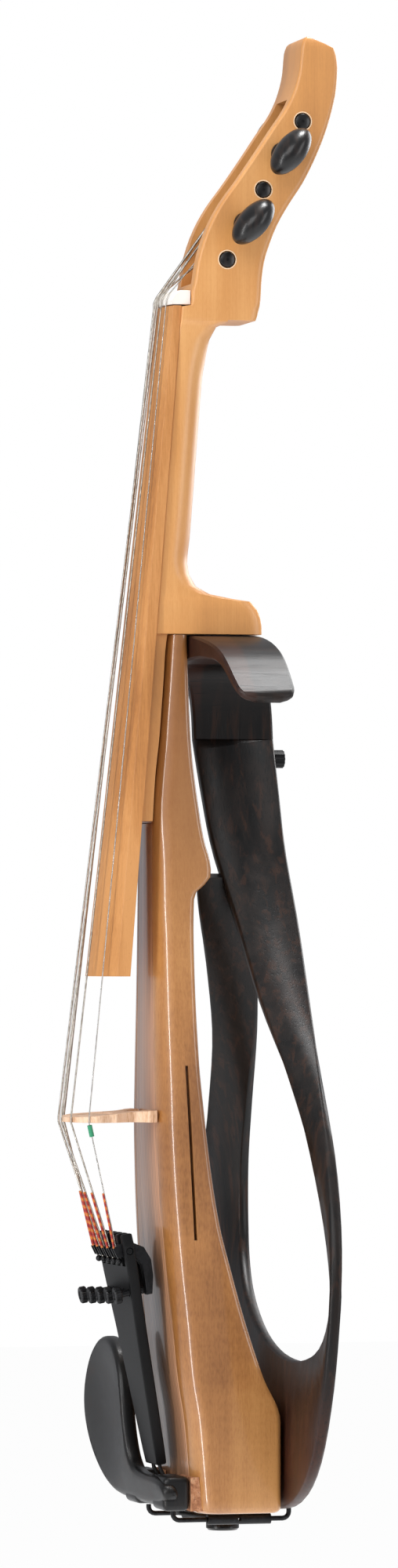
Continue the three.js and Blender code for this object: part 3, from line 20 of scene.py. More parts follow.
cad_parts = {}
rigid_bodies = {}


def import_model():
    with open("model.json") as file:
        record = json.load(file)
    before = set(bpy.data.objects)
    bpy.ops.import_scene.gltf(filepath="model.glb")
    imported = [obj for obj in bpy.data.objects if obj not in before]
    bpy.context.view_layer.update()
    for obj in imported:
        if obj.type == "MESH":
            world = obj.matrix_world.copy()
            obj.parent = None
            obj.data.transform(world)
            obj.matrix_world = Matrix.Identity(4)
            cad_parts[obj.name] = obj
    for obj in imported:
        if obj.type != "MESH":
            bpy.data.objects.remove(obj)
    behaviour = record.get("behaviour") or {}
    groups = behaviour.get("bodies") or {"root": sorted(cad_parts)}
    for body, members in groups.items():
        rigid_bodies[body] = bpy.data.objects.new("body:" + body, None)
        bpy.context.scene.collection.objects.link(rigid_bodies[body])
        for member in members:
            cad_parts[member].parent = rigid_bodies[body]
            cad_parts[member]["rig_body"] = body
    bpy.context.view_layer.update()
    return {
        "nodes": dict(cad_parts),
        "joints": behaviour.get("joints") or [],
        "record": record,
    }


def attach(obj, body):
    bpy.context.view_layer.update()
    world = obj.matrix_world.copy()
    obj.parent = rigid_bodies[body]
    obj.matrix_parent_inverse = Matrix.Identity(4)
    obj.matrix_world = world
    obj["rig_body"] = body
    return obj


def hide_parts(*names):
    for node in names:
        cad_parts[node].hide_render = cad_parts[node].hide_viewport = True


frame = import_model()

log = logging.getLogger("violin")

MM = 0.001
TAU = 2.0 * math.pi
WHITE = (1.0, 1.0, 1.0, 1.0)
INSTRUMENT = "instrument"
WELD = 0.002 * MM

Colour = tuple[float, float, float, float]
Stops = list[tuple[float, Colour]]


class Course(Enum):
    """The strings from the treble side, each with its place across the instrument."""

    E = -2
    A = -1
    D = 0
    G = 1
    C = 2

    @property
    def label(self) -> str:
        """The lower-case letter that ends the string's node names."""
        return self.name.lower()


def srgb(code: int) -> Colour:
    """Turns a hex colour as seen on a screen into linear light.

    Args:
        code: the colour as 0xRRGGBB.

    Returns:
        Red, green, blue and full opacity.
    """
    channels = []
    for shift in (16, 8, 0):
        value = ((code >> shift) & 255) / 255.0
        channels.append(value / 12.92 if value <= 0.04045 else ((value + 0.055) / 1.055) ** 2.4)
    return channels[0], channels[1], channels[2], 1.0


def quarter(steps: int) -> list[float]:
    """The angles of a quarter turn from 0, in even steps."""
    return [step / float(steps) * math.pi / 2.0 for step in range(steps + 1)]


def both_sides(side: list[tuple[float, float]]) -> list[tuple[float, float]]:
    """Mirrors one side of an outline, as depths and half widths, into a closed ring."""
    return [(x, -y) for x, y in side] + [(x, y) for x, y in reversed(side)]


class Signal:
    """A number that flows through a shader, so that sums can be written as Python expressions."""

    def __init__(self, shader: Shader, socket: bpy.types.NodeSocket) -> None:
        """Keeps the output socket and the shader that it belongs to."""
        self.shader = shader
        self.socket = socket

    def _math(self, operation: str, *terms: Signal | float) -> Signal:
        """Adds a Math node that takes the terms in order."""
        values = dict(enumerate(terms))
        return self.shader.node("ShaderNodeMath", {"operation": operation}, values)

    def __add__(self, other: Signal | float) -> Signal:
        """Adds two signals."""
        return self._math("ADD", self, other)

    __radd__ = __add__

    def __sub__(self, other: Signal | float) -> Signal:
        """Takes the other signal away."""
        return self._math("SUBTRACT", self, other)

    def __rsub__(self, other: float) -> Signal:
        """Takes this signal away from a number."""
        return self._math("SUBTRACT", other, self)

    def __mul__(self, other: Signal | float) -> Signal:
        """Multiplies two signals."""
        return self._math("MULTIPLY", self, other)

    __rmul__ = __mul__

    def power(self, exponent: float) -> Signal:
        """Raises the signal to a power."""
        return self._math("POWER", self, exponent)

    def sine(self) -> Signal:
        """The sine of the signal in radians."""
        return self._math("SINE", self)

    def clamped(self) -> Signal:
        """Keeps the signal between 0 and 1."""
        return self._math("MINIMUM", self._math("MAXIMUM", self, 0.0), 1.0)

    def ramp(self, low: float, high: float) -> Signal:
        """Maps the stretch from low to high onto 0 to 1, smoothly.

        Args:
            low: the value that becomes 0.
            high: the value that becomes 1.

        Returns:
            The mapped signal.
        """
        settings = {"interpolation_type": "SMOOTHSTEP"}
        values = {"Value": self, "From Min": low, "From Max": high}
        return self.shader.node("ShaderNodeMapRange", settings, values)


class Shader:
    """The nodes of one material or of the world."""

    def __init__(self, owner: bpy.types.Material | bpy.types.World) -> None:
        """Empties the owner's node tree."""
        self.owner = owner
        owner.use_nodes = True
        self.tree = owner.node_tree
        self.tree.nodes.clear()

    def node(
        self,
        kind: str,
        settings: dict[str, object] | None = None,
        inputs: dict[str | int, object] | None = None,
        output: str | int = 0,
    ) -> Signal:
        """Adds one node.

        Args:
            kind: the node's type.
            settings: attributes that are set first; "stops" holds a colour ramp's stops.
            inputs: values or signals for its sockets.
            output: the output socket that is wanted.

        Returns:
            The wanted output.
        """
        made = self.tree.nodes.new(kind)
        for key, value in (settings or {}).items():
            if key == "stops":
                self._fill_ramp(made, value)
            else:
                setattr(made, key, value)
        for key, value in (inputs or {}).items():
            if isinstance(value, Signal):
                self.tree.links.new(value.socket, made.inputs[key])
            else:
                made.inputs[key].default_value = value
        return Signal(self, made.outputs[output])

    @staticmethod
    def _fill_ramp(made: bpy.types.Node, stops: Stops) -> None:
        """Sets a colour ramp's stops.

        Args:
            made: the ramp node.
            stops: places and colours in order.
        """
        elements = made.color_ramp.elements
        while len(elements) < len(stops):
            elements.new(0.5)
        for element, (place, colour) in zip(elements, stops):
            element.position = place
            element.color = colour

    def place(self) -> Signal:
        """The point on the object, in metres."""
        return self.node("ShaderNodeTexCoord", output="Object")

    def axis(self, name: str) -> Signal:
        """One coordinate of the point on the object, in metres."""
        return self.node("ShaderNodeSeparateXYZ", None, {0: self.place()}, name)

    def noise(
        self, scale: tuple[float, float, float], detail: float = 3.0, warp: float = 0.0
    ) -> Signal:
        """Fractal noise, stretched by a scale of its own along each axis.

        Args:
            scale: waves per metre along X, Y and Z.
            detail: how many octaves.
            warp: how far the noise distorts itself.

        Returns:
            A value around one half.
        """
        stretched = self.node("ShaderNodeMapping", None, {"Vector": self.place(), "Scale": scale})
        values = {"Vector": stretched, "Scale": 1.0, "Detail": detail, "Distortion": warp}
        return self.node("ShaderNodeTexNoise", None, values, "Fac")

    def colours(self, amount: Signal, stops: Stops) -> Signal:
        """Turns a signal into a colour through a ramp's stops."""
        return self.node("ShaderNodeValToRGB", {"stops": stops}, {"Fac": amount})

    def blend(self, first: Signal | Colour, second: Colour, amount: Signal | float) -> Signal:
        """Mixes two colours: the first where the amount is 0, the second where it is 1."""
        values = {0: amount, 6: first, 7: second}
        return self.node("ShaderNodeMix", {"data_type": "RGBA"}, values, output=2)

    def bump(self, height: Signal, depth: float, strength: float) -> Signal:
        """Turns a height from 0 to 1 into a normal, for a real depth in metres."""
        values = {"Strength": strength, "Distance": depth, "Height": height}
        return self.node("ShaderNodeBump", None, values)

    def surface(self, **values: object) -> bpy.types.Material:
        """Ends the material in a Principled surface.

        Args:
            values: socket names, with an underscore for each space, and their values.

        Returns:
            The finished material.
        """
        named = {key.replace("_", " "): value for key, value in values.items()}
        self.end(self.node("ShaderNodeBsdfPrincipled", None, named), "Material")
        return self.owner

    def end(self, result: Signal, kind: str) -> None:
        """Sends a surface or a background to the output node, of the kind Material or World."""
        output = self.tree.nodes.new(f"ShaderNodeOutput{kind}")
        self.tree.links.new(result.socket, output.inputs["Surface"])


@dataclass(frozen=True)
class MapleFinish:
    """Lacquered maple with a fine upright grain, short flecks and a slow change of tone.

    The painted shade is how far the wood is darkened towards the upper end of the body, standing in
    for the shade below the arch.
    """

    name: str
    deep: int
    middle: int
    pale: int
    roughness: float = 0.3
    coat: float = 0.3
    coat_roughness: float = 0.2
    grain: float = 0.4
    flecks: float = 0.3
    figure: float = 0.0
    dusk: float = 0.0
    dusk_low: float = 215.0 * MM
    dusk_high: float = 300.0 * MM

    def build(self) -> bpy.types.Material:
        """Makes the material."""
        shader = Shader(bpy.data.materials.new(self.name))
        streaks = shader.noise((170.0, 170.0, 4.0), detail=4.0, warp=0.3)
        specks = shader.noise((1500.0, 1500.0, 420.0), detail=2.0)
        hairs = shader.noise((2400.0, 2400.0, 40.0), detail=2.0)
        cloud = shader.noise((15.0, 15.0, 8.0), detail=3.0)
        waves = shader.noise((30.0, 30.0, 190.0), detail=2.0, warp=0.6)
        tone = (
            (cloud - 0.5) * 1.1
            + (streaks - 0.5) * self.grain
            + (specks - 0.5) * self.flecks
            + (hairs - 0.5) * (self.grain * 0.5)
            + (waves - 0.5) * self.figure
            + 0.5
        )
        stops = [(0.3, srgb(self.deep)), (0.5, srgb(self.middle)), (0.7, srgb(self.pale))]
        colour = shader.colours(tone, stops)
        colour = shader.blend(colour, srgb(self.deep), specks.ramp(0.6, 0.72) * self.flecks)
        # Painted shade: the upper end of the body is darkened towards the deep tone.
        if self.dusk:
            upper = shader.axis("Z").ramp(self.dusk_low, self.dusk_high)
            colour = shader.blend(colour, srgb(self.deep), upper * self.dusk)
        shine = streaks * 0.1 + (self.roughness - 0.05)
        relief = hairs * 0.5 + specks * 0.3 + streaks * 0.2
        normal = shader.bump(relief, depth=0.04 * MM, strength=0.4)
        return shader.surface(
            Base_Color=colour,
            Roughness=shine,
            Normal=normal,
            Coat_Weight=self.coat,
            Coat_Roughness=self.coat_roughness,
        )


@dataclass(frozen=True)
class SpruceFinish:
    """Glossy spruce with narrow dark year lines that run up the plate."""

    name: str = "spruce_lacquer"
    line_spacing: float = 2.4 * MM
    early: int = 0xC6926E
    late: int = 0x5E3F2C
    shade: int = 0x7E5D47

    def build(self) -> bpy.types.Material:
        """Makes the material."""
        shader = Shader(bpy.data.materials.new(self.name))
        drift = shader.noise((24.0, 24.0, 3.5), detail=2.0)
        cloud = shader.noise((14.0, 40.0, 6.0), detail=3.0)
        fibre = shader.noise((900.0, 900.0, 26.0), detail=3.0)
        phase = shader.axis("Y") * (TAU / self.line_spacing) + drift * 11.0
        line = (phase.sine() * 0.5 + 0.5).power(3.0)
        colour = shader.blend(srgb(self.early), srgb(self.shade), cloud.ramp(0.35, 0.7))
        colour = shader.blend(colour, srgb(self.late), line * 0.62)
        colour = shader.blend(colour, srgb(self.late), fibre.ramp(0.55, 0.75) * 0.25)
        normal = shader.bump(line * 0.6 + fibre * 0.4, depth=0.05 * MM, strength=0.5)
        return shader.surface(
            Base_Color=colour,
            Roughness=fibre * 0.12 + 0.26,
            Normal=normal,
            Coat_Weight=0.8,
            Coat_Roughness=0.08,
        )


@dataclass(frozen=True)
class WalnutFinish:
    """Nearly black walnut with open pores, and a red-brown glow at its foot, twist and lip.

    The grain runs upright in the ribbon and from front to back in the crown of its arch.
    """

    name: str = "walnut_dark"
    black: int = 0x0E0D0D
    brown: int = 0x201916
    ember: int = 0x3B251A
    glow: int = 0x4E2615
    glow_low: float = 22.0 * MM
    glow_high: float = 78.0 * MM
    twist_low: float = 150.0 * MM
    twist_high: float = 235.0 * MM
    twist_fade: float = 30.0 * MM
    crown_low: float = 322.0 * MM
    crown_high: float = 334.0 * MM
    lip_front: float = -4.5 * MM
    lip_back: float = -2.0 * MM

    def build(self) -> bpy.types.Material:
        """Makes the material."""
        shader = Shader(bpy.data.materials.new(self.name))
        height = shader.axis("Z")
        crown = height.ramp(self.crown_low, self.crown_high)
        upright = 1.0 - crown
        streaks = (
            shader.noise((150.0, 150.0, 9.0), detail=5.0, warp=0.8) * upright
            + shader.noise((9.0, 150.0, 150.0), detail=5.0, warp=0.8) * crown
        )
        pores = (
            shader.noise((1500.0, 1500.0, 75.0), detail=2.0) * upright
            + shader.noise((60.0, 1500.0, 1500.0), detail=2.0) * crown
        )
        mottle = shader.noise((330.0, 330.0, 26.0), detail=5.0, warp=0.5)
        cloud = shader.noise((11.0, 11.0, 8.0), detail=2.0)
        foot = 1.0 - height.ramp(self.glow_low, self.glow_high)
        twist = height.ramp(self.twist_low, self.twist_low + self.twist_fade) * (
            1.0 - height.ramp(self.twist_high - self.twist_fade, self.twist_high)
        )
        lip = crown * (1.0 - shader.axis("X").ramp(self.lip_front, self.lip_back))
        warm = (foot * 0.7 + twist * cloud.ramp(0.45, 0.62) * 0.3 + lip * 0.4).clamped()
        colour = shader.colours(streaks, [(0.36, srgb(self.black)), (0.68, srgb(self.brown))])
        embers = mottle.ramp(0.5, 0.66) * (upright * 0.38 + 0.12)
        colour = shader.blend(colour, srgb(self.ember), embers)
        colour = shader.blend(colour, srgb(self.glow), warm * (streaks * 0.7 + 0.4))
        colour = shader.blend(colour, srgb(self.black), pores.ramp(0.56, 0.66) * 0.7)
        normal = shader.bump(1.0 - pores.ramp(0.56, 0.7), depth=0.04 * MM, strength=0.5)
        return shader.surface(
            Base_Color=colour,
            Roughness=streaks * 0.2 + crown * 0.03 + 0.27,
            Normal=normal,
            Specular_IOR_Level=0.25,
            Coat_Weight=0.03,
            Coat_Roughness=0.3,
        )


@dataclass(frozen=True)
class EbonyFinish:
    """Polished ebony: black with a few brown streaks."""

    name: str = "ebony_polish"
    black: int = 0x0E0D0D
    brown: int = 0x261D19
    roughness: float = 0.34
    coat: float = 0.2

    def build(self) -> bpy.types.Material:
        """Makes the material."""
        shader = Shader(bpy.data.materials.new(self.name))
        streaks = shader.noise((420.0, 60.0, 110.0), detail=4.0, warp=0.6)
        fine = shader.noise((2200.0, 900.0, 2200.0), detail=2.0)
        colour = shader.blend(srgb(self.black), srgb(self.brown), streaks.ramp(0.48, 0.72))
        normal = shader.bump(fine, depth=0.03 * MM, strength=0.35)
        return shader.surface(
            Base_Color=colour,
            Roughness=streaks * 0.14 + (self.roughness - 0.06),
            Normal=normal,
            Specular_IOR_Level=0.36,
            Coat_Weight=self.coat,
            Coat_Roughness=0.16,
        )


@dataclass(frozen=True)
class MouldedFinish:
    """Moulded plastic or bone with a faint skin texture."""

    name: str
    colour: int
    shade: int
    roughness: float = 0.42
    gloss: float = 0.5
    skin: float = 0.03 * MM

    def build(self) -> bpy.types.Material:
        """Makes the material."""
        shader = Shader(bpy.data.materials.new(self.name))
        grain = shader.noise((2600.0, 2600.0, 2600.0), detail=2.0)
        cloud = shader.noise((60.0, 60.0, 60.0), detail=2.0)
        colour = shader.blend(srgb(self.colour), srgb(self.shade), cloud.ramp(0.3, 0.75))
        normal = shader.bump(grain, depth=self.skin, strength=0.4)
        return shader.surface(
            Base_Color=colour,
            Roughness=grain * 0.12 + (self.roughness - 0.06),
            Normal=normal,
            Specular_IOR_Level=self.gloss,
        )


@dataclass(frozen=True)
class MetalFinish:
    """Bare, blackened or wound metal with fine turning marks, and painted shade in the grooves
    between its ridges.
    """

    name: str
    colour: int
    shade: int
    roughness: float = 0.3
    metallic: float = 1.0
    ridge_spacing: float = 0.0
    ridge_axis: str = "Z"

    def build(self) -> bpy.types.Material:
        """Makes the material."""
        shader = Shader(bpy.data.materials.new(self.name))
        marks = shader.noise((600.0, 2400.0, 600.0), detail=2.0)
        colour = shader.blend(srgb(self.colour), srgb(self.shade), marks.ramp(0.35, 0.7))
        height = marks * 0.3
        if self.ridge_spacing:
            ridges = (shader.axis(self.ridge_axis) * (TAU / self.ridge_spacing)).sine() * 0.5 + 0.5
            # Painted shade: the grooves between the ridges are darkened towards the shade colour.
            colour = shader.blend(colour, srgb(self.shade), (1.0 - ridges) * 0.5)
            height = height + ridges * 0.7
        normal = shader.bump(height, depth=0.04 * MM, strength=0.6)
        return shader.surface(
            Base_Color=colour,
            Metallic=self.metallic,
            Roughness=marks * 0.18 + (self.roughness - 0.08),
            Normal=normal,
        )


@dataclass(frozen=True)
class CorkFinish:
    """Pressed cork: warm grains with dark gaps between them."""

    name: str = "cork_pressed"
    grain_size: float = 0.9 * MM
    dark: int = 0x8E5B3C
    middle: int = 0xB37A55
    pale: int = 0xCC9C77
    gap: int = 0x6A3A25

    def build(self) -> bpy.types.Material:
        """Makes the material."""
        shader = Shader(bpy.data.materials.new(self.name))
        values = {"Vector": shader.place(), "Scale": 1.0 / self.grain_size}
        cells = shader.node("ShaderNodeTexVoronoi", None, values, "Distance")
        cloud = shader.noise((500.0, 500.0, 500.0), detail=3.0)
        stops = [(0.3, srgb(self.dark)), (0.5, srgb(self.middle)), (0.72, srgb(self.pale))]
        gaps = cells.ramp(0.55, 0.95) * 0.7
        colour = shader.blend(shader.colours(cloud, stops), srgb(self.gap), gaps)
        normal = shader.bump(1.0 - cells, depth=0.15 * MM, strength=0.8)
        return shader.surface(Base_Color=colour, Roughness=0.85, Normal=normal)


@dataclass(frozen=True)
class SilkFinish:
    """Red and orange silk thread wound round the string ends, with painted shade between the turns.
    """

    name: str = "silk_thread"
    thread: float = 0.45 * MM
    band_threads: float = 7.0
    red: int = 0xA81712
    scarlet: int = 0xD63A1E
    orange: int = 0xEB8A2C
    # gap is a painted shade colour for the valleys between the thread's turns
    gap: int = 0x5A1512

    def build(self) -> bpy.types.Material:
        """Makes the material."""
        shader = Shader(bpy.data.materials.new(self.name))
        slant = shader.axis("Z") + shader.axis("Y") * 0.8
        turn = (slant * (TAU / self.thread)).sine() * 0.5 + 0.5
        drift = shader.noise((90.0, 90.0, 90.0)) * 3.0
        band = (shader.axis("Z") * (TAU / (self.band_threads * self.thread)) + drift).sine()
        stops = [(0.15, srgb(self.red)), (0.5, srgb(self.scarlet)), (0.8, srgb(self.orange))]
        colour = shader.colours(band * 0.35 + 0.5, stops)
        # Painted shade in the valleys between the turns.
        colour = shader.blend(colour, srgb(self.gap), (1.0 - turn) * 0.5)
        normal = shader.bump(turn, depth=0.08 * MM, strength=0.8)
        return shader.surface(
            Base_Color=colour,
            Roughness=turn * 0.15 + 0.5,
            Normal=normal,
            Sheen_Weight=0.3,
        )


@dataclass
class Finishes:
    """Every finish of the instrument, built once."""

    neck: MapleFinish = MapleFinish(
        "neck_maple",
        deep=0xBB8149,
        middle=0xD19354,
        pale=0xE1A86A,
        roughness=0.36,
        coat=0.2,
        coat_roughness=0.3,
        grain=0.28,
        flecks=0.14,
    )
    board: MapleFinish = MapleFinish(
        "board_maple",
        deep=0xA56B37,
        middle=0xBE8045,
        pale=0xD09357,
        roughness=0.44,
        coat=0.06,
        coat_roughness=0.4,
        grain=0.7,
        flecks=0.2,
    )
    shell: MapleFinish = MapleFinish(
        "body_maple",
        deep=0x885527,
        middle=0xAC733C,
        pale=0xC68D50,
        roughness=0.4,
        coat=1.0,
        coat_roughness=0.1,
        grain=0.28,
        flecks=0.28,
        figure=0.12,
        # painted shade at the upper end of the body
        dusk=0.7,
    )
    bridge: MapleFinish = MapleFinish(
        "bridge_maple",
        deep=0xC08F69,
        middle=0xDFB592,
        pale=0xF0CFB2,
        roughness=0.6,
        coat=0.0,
        coat_roughness=0.5,
        grain=0.9,
        flecks=0.6,
    )
    spruce: SpruceFinish = SpruceFinish()
    walnut: WalnutFinish = WalnutFinish()
    ebony: EbonyFinish = EbonyFinish()
    rest: EbonyFinish = EbonyFinish("chin_rest_polish", 0x0B0A0A, 0x191310, 0.4, 0.1)
    # pale colour of the peg rings: a painted highlight on the countersunk edge
    lip: MouldedFinish = MouldedFinish("bushing_lip", 0xF0D3B0, 0xE2BE96, 0.4)
    bone: MouldedFinish = MouldedFinish("bone_white", 0xF4EFE8, 0xE6DED2, 0.38)
    black: MouldedFinish = MouldedFinish("plastic_black", 0x0A0A0B, 0x101011, 0.48, 0.2)
    cord: MouldedFinish = MouldedFinish("cord_black", 0x141414, 0x1E1E1F, 0.55)
    sleeve: MouldedFinish = MouldedFinish("sleeve_green", 0x2F8F66, 0x49A982, 0.5)
    ceramic: MouldedFinish = MouldedFinish("pickup_grey", 0x9A9A92, 0x86867F, 0.6)
    steel: MetalFinish = MetalFinish("steel_bright", 0xC9C6C1, 0xA19D97, 0.28)
    winding: MetalFinish = MetalFinish(
        "string_winding", 0xCFCAC2, 0x9E978C, 0.34, 0.9, ridge_spacing=0.3 * MM
    )
    dark_metal: MetalFinish = MetalFinish("metal_black", 0x131314, 0x202022, 0.36, 0.55)
    thread: MetalFinish = MetalFinish(
        "rod_thread", 0x111112, 0x2A2A2C, 0.34, 0.7, ridge_spacing=0.6 * MM, ridge_axis="X"
    )
    cork: CorkFinish = CorkFinish()
    silk: SilkFinish = SilkFinish()
    made: dict[str, bpy.types.Material] = field(default_factory=dict)

    def get(self, name: str) -> bpy.types.Material:
        """Gives a finish's material, and builds it the first time.

        Args:
            name: the field that holds the finish.

        Returns:
            The material.
        """
        if name not in self.made:
            self.made[name] = getattr(self, name).build()
        return self.made[name]


@dataclass
class Bench:
    """Where pieces are finished and fixed to the bodies that carry them."""

    finishes: Finishes = field(default_factory=Finishes)
    slots: dict[str, str] = field(default_factory=dict)
    flat_angle: float = 0.6

    def __post_init__(self) -> None:
        """Reads which material slot each node has in the record."""
        self.slots = {part["node"]: part["material_slot"] for part in frame["record"]["subparts"]}

    def keep(self, piece: bpy.types.Object, finish: str, body: str, slot: str) -> None:
        """Gives a piece its finish and fixes it to its body.

        Args:
            piece: the piece, at rest in its place.
            finish: the finish's field name.
            body: the body that it moves with.
            slot: the record's material slot, not used.
        """
        piece.data.materials.clear()
        piece.data.materials.append(self.finishes.get(finish))
        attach(piece, body)
        log.info("%s rides on %s", piece.name, body)

    def swap(self, piece: bpy.types.Object, finish: str, node: str) -> None:
        """Puts a piece in a node's place and on the node's body.

        Args:
            piece: the piece, at rest in its place.
            finish: the finish's field name.
            node: the node that it replaces.
        """
        self.keep(piece, finish, frame["nodes"][node]["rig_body"], self.slots[node])
        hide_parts(node)

    def refine(
        self, node: str, finish: str, smooth: float = 40.0, edge: float = 0.0
    ) -> bpy.types.Object:
        """Makes a node's shown piece from its own solid, with smooth curves and soft edges.

        Args:
            node: the node's name.
            finish: the finish's field name.
            smooth: the angle in degrees up to which neighbouring faces blend.
            edge: the width of the softened edges in metres, or 0 for none.

        Returns:
            The new piece.
        """
        sheet = bmesh.new()
        sheet.from_mesh(frame["nodes"][node].data)
        bmesh.ops.remove_doubles(sheet, verts=sheet.verts, dist=2.0 * WELD)
        bmesh.ops.dissolve_limit(
            sheet,
            angle_limit=math.radians(self.flat_angle),
            use_dissolve_boundaries=False,
            verts=sheet.verts,
            edges=sheet.edges,
        )
        piece = self.from_sheet(f"{node}_finished", sheet, smooth)
        if edge:
            self.soften(piece, edge, smooth)
        self.swap(piece, finish, node)
        return piece

    @classmethod
    def from_sheet(
        cls, name: str, sheet: bmesh.types.BMesh, smooth: float = 40.0
    ) -> bpy.types.Object:
        """Turns a bmesh into an object with smooth curves and sharp corners.

        Args:
            name: the object's name.
            sheet: the bmesh, which is used up.
            smooth: the angle in degrees up to which neighbouring faces blend.

        Returns:
            The object, in the scene.
        """
        mesh = bpy.data.meshes.new(name)
        sheet.to_mesh(mesh)
        sheet.free()
        cls.shade(mesh, smooth)
        piece = bpy.data.objects.new(name, mesh)
        bpy.context.scene.collection.objects.link(piece)
        return piece

    @staticmethod
    def shade(mesh: bpy.types.Mesh, smooth: float) -> None:
        """Shades a mesh smooth, with sharp edges above an angle in degrees."""
        mesh.shade_smooth()
        mesh.set_sharp_from_angle(angle=math.radians(smooth))

    @staticmethod
    def soften(piece: bpy.types.Object, edge: float, smooth: float) -> None:
        """Rounds a piece's corners a little, so that they catch the light.

        Args:
            piece: the object.
            edge: the rounding's width in metres.
            smooth: corners sharper than this angle in degrees are rounded.
        """
        bevel = piece.modifiers.new("soft_edges", "BEVEL")
        bevel.width = edge
        bevel.segments = 2
        bevel.limit_method = "ANGLE"
        bevel.angle_limit = math.radians(smooth)
        bevel.harden_normals = True
        bevel.miter_outer = "MITER_ARC"
        weights = piece.modifiers.new("even_shading", "WEIGHTED_NORMAL")
        weights.keep_sharp = True

    @staticmethod
    def loft(rings: list[list[Vector]]) -> bmesh.types.BMesh:
        """Joins closed rings of points into a capped skin.

        Args:
            rings: rings with the same number of points, in order.

        Returns:
            The bmesh, with its faces outward.
        """
        sheet = bmesh.new()
        around, along = len(rings[0]), len(rings) - 1
        bmesh.ops.create_grid(sheet, x_segments=around, y_segments=along, size=1.0)
        grid = sorted(sheet.verts, key=lambda vert: (round(vert.co.y, 5), round(vert.co.x, 5)))
        for index, vert in enumerate(grid):
            row, column = divmod(index, around + 1)
            vert.co = rings[row][column % around]
        bmesh.ops.remove_doubles(sheet, verts=sheet.verts, dist=WELD)
        rims = [edge for edge in sheet.edges if edge.is_boundary]
        bmesh.ops.holes_fill(sheet, edges=rims, sides=0)
        bmesh.ops.recalc_face_normals(sheet, faces=sheet.faces)
        return sheet

    @staticmethod
    def box(low: Vector, high: Vector, edge: float = 0.0) -> bmesh.types.BMesh:
        """Makes a box, with rounded edges if wanted.

        Args:
            low: its lowest corner.
            high: its highest corner.
            edge: the rounding's radius in metres.

        Returns:
            The bmesh.
        """
        sheet = bmesh.new()
        size = Matrix.Diagonal((*(high - low), 1.0))
        bmesh.ops.create_cube(sheet, size=1.0, matrix=Matrix.Translation((low + high) / 2.0) @ size)
        if edge:
            Bench.round_edges(sheet, list(sheet.edges), edge, 5)
        return sheet

    @staticmethod
    def rod(
        radius: float, start: Vector, end: Vector, end_radius: float = 0.0
    ) -> bmesh.types.BMesh:
        """Makes a round rod between two points.

        Args:
            radius: its radius in metres.
            start: the centre of one end.
            end: the centre of the other end.
            end_radius: its radius at the end, or 0 for an even rod.

        Returns:
            The bmesh.
        """
        sheet = bmesh.new()
        along = end - start
        turn = along.to_track_quat("Z", "Y").to_matrix().to_4x4()
        bmesh.ops.create_cone(
            sheet,
            cap_ends=True,
            segments=48,
            radius1=radius,
            radius2=end_radius or radius,
            depth=along.length,
            matrix=Matrix.Translation((start + end) / 2.0) @ turn,
        )
        return sheet

    @staticmethod
    def round_edges(
        sheet: bmesh.types.BMesh, edges: list[bmesh.types.BMEdge], width: float, steps: int
    ) -> None:
        """Rounds some edges of a bmesh.

        Args:
            sheet: the bmesh.
            edges: the edges to round.
            width: the rounding's radius in metres.
            steps: the segments of the rounding.
        """
        bmesh.ops.bevel(
            sheet,
            geom=edges,
            offset=width,
            offset_type="OFFSET",
            segments=steps,
            profile=0.5,
            affect="EDGES",
            material=-1,
            clamp_overlap=True,
        )

    def cut(self, piece: bpy.types.Object, cutters: list[bmesh.types.BMesh], smooth: float) -> None:
        """Cuts openings into a piece.

        Args:
            piece: the object to cut.
            cutters: the shapes of the openings, which are used up.
            smooth: the angle in degrees up to which neighbouring faces blend.
        """
        tools = [
            self.from_sheet(f"{piece.name}_cutter_{index}", sheet)
            for index, sheet in enumerate(cutters)
        ]
        for tool in tools:
            cutting = piece.modifiers.new("cut", "BOOLEAN")
            cutting.operation = "DIFFERENCE"
            cutting.solver = "EXACT"
            cutting.object = tool
        shown = piece.evaluated_get(bpy.context.evaluated_depsgraph_get())
        mesh = bpy.data.meshes.new_from_object(shown)
        piece.modifiers.clear()
        piece.data = mesh
        self.shade(mesh, smooth)
        for tool in tools:
            bpy.data.objects.remove(tool, do_unlink=True)

    @staticmethod
    def turned(
        profile: list[tuple[float, float]], axis: Vector, centre: Vector, steps: int
    ) -> bmesh.types.BMesh:
        """Spins a closed profile into a ring or a knob.

        Args:
            profile: distances from the axis and along it, in metres.
            axis: the direction of the axis.
            centre: a point on it.
            steps: how many facets go round.

        Returns:
            The bmesh.
        """
        sheet = bmesh.new()
        along = axis.normalized()
        across = along.orthogonal().normalized()
        places = [
            sheet.verts.new(centre + across * radius + along * reach) for radius, reach in profile
        ]
        following = places[1:] + places[:1]
        edges = [sheet.edges.new(pair) for pair in zip(places, following)]
        bmesh.ops.spin(
            sheet,
            geom=places + edges,
            cent=centre,
            axis=along,
            angle=TAU,
            steps=steps,
            use_merge=True,
        )
        bmesh.ops.remove_doubles(sheet, verts=sheet.verts, dist=WELD)
        bmesh.ops.recalc_face_normals(sheet, faces=sheet.faces)
        return sheet


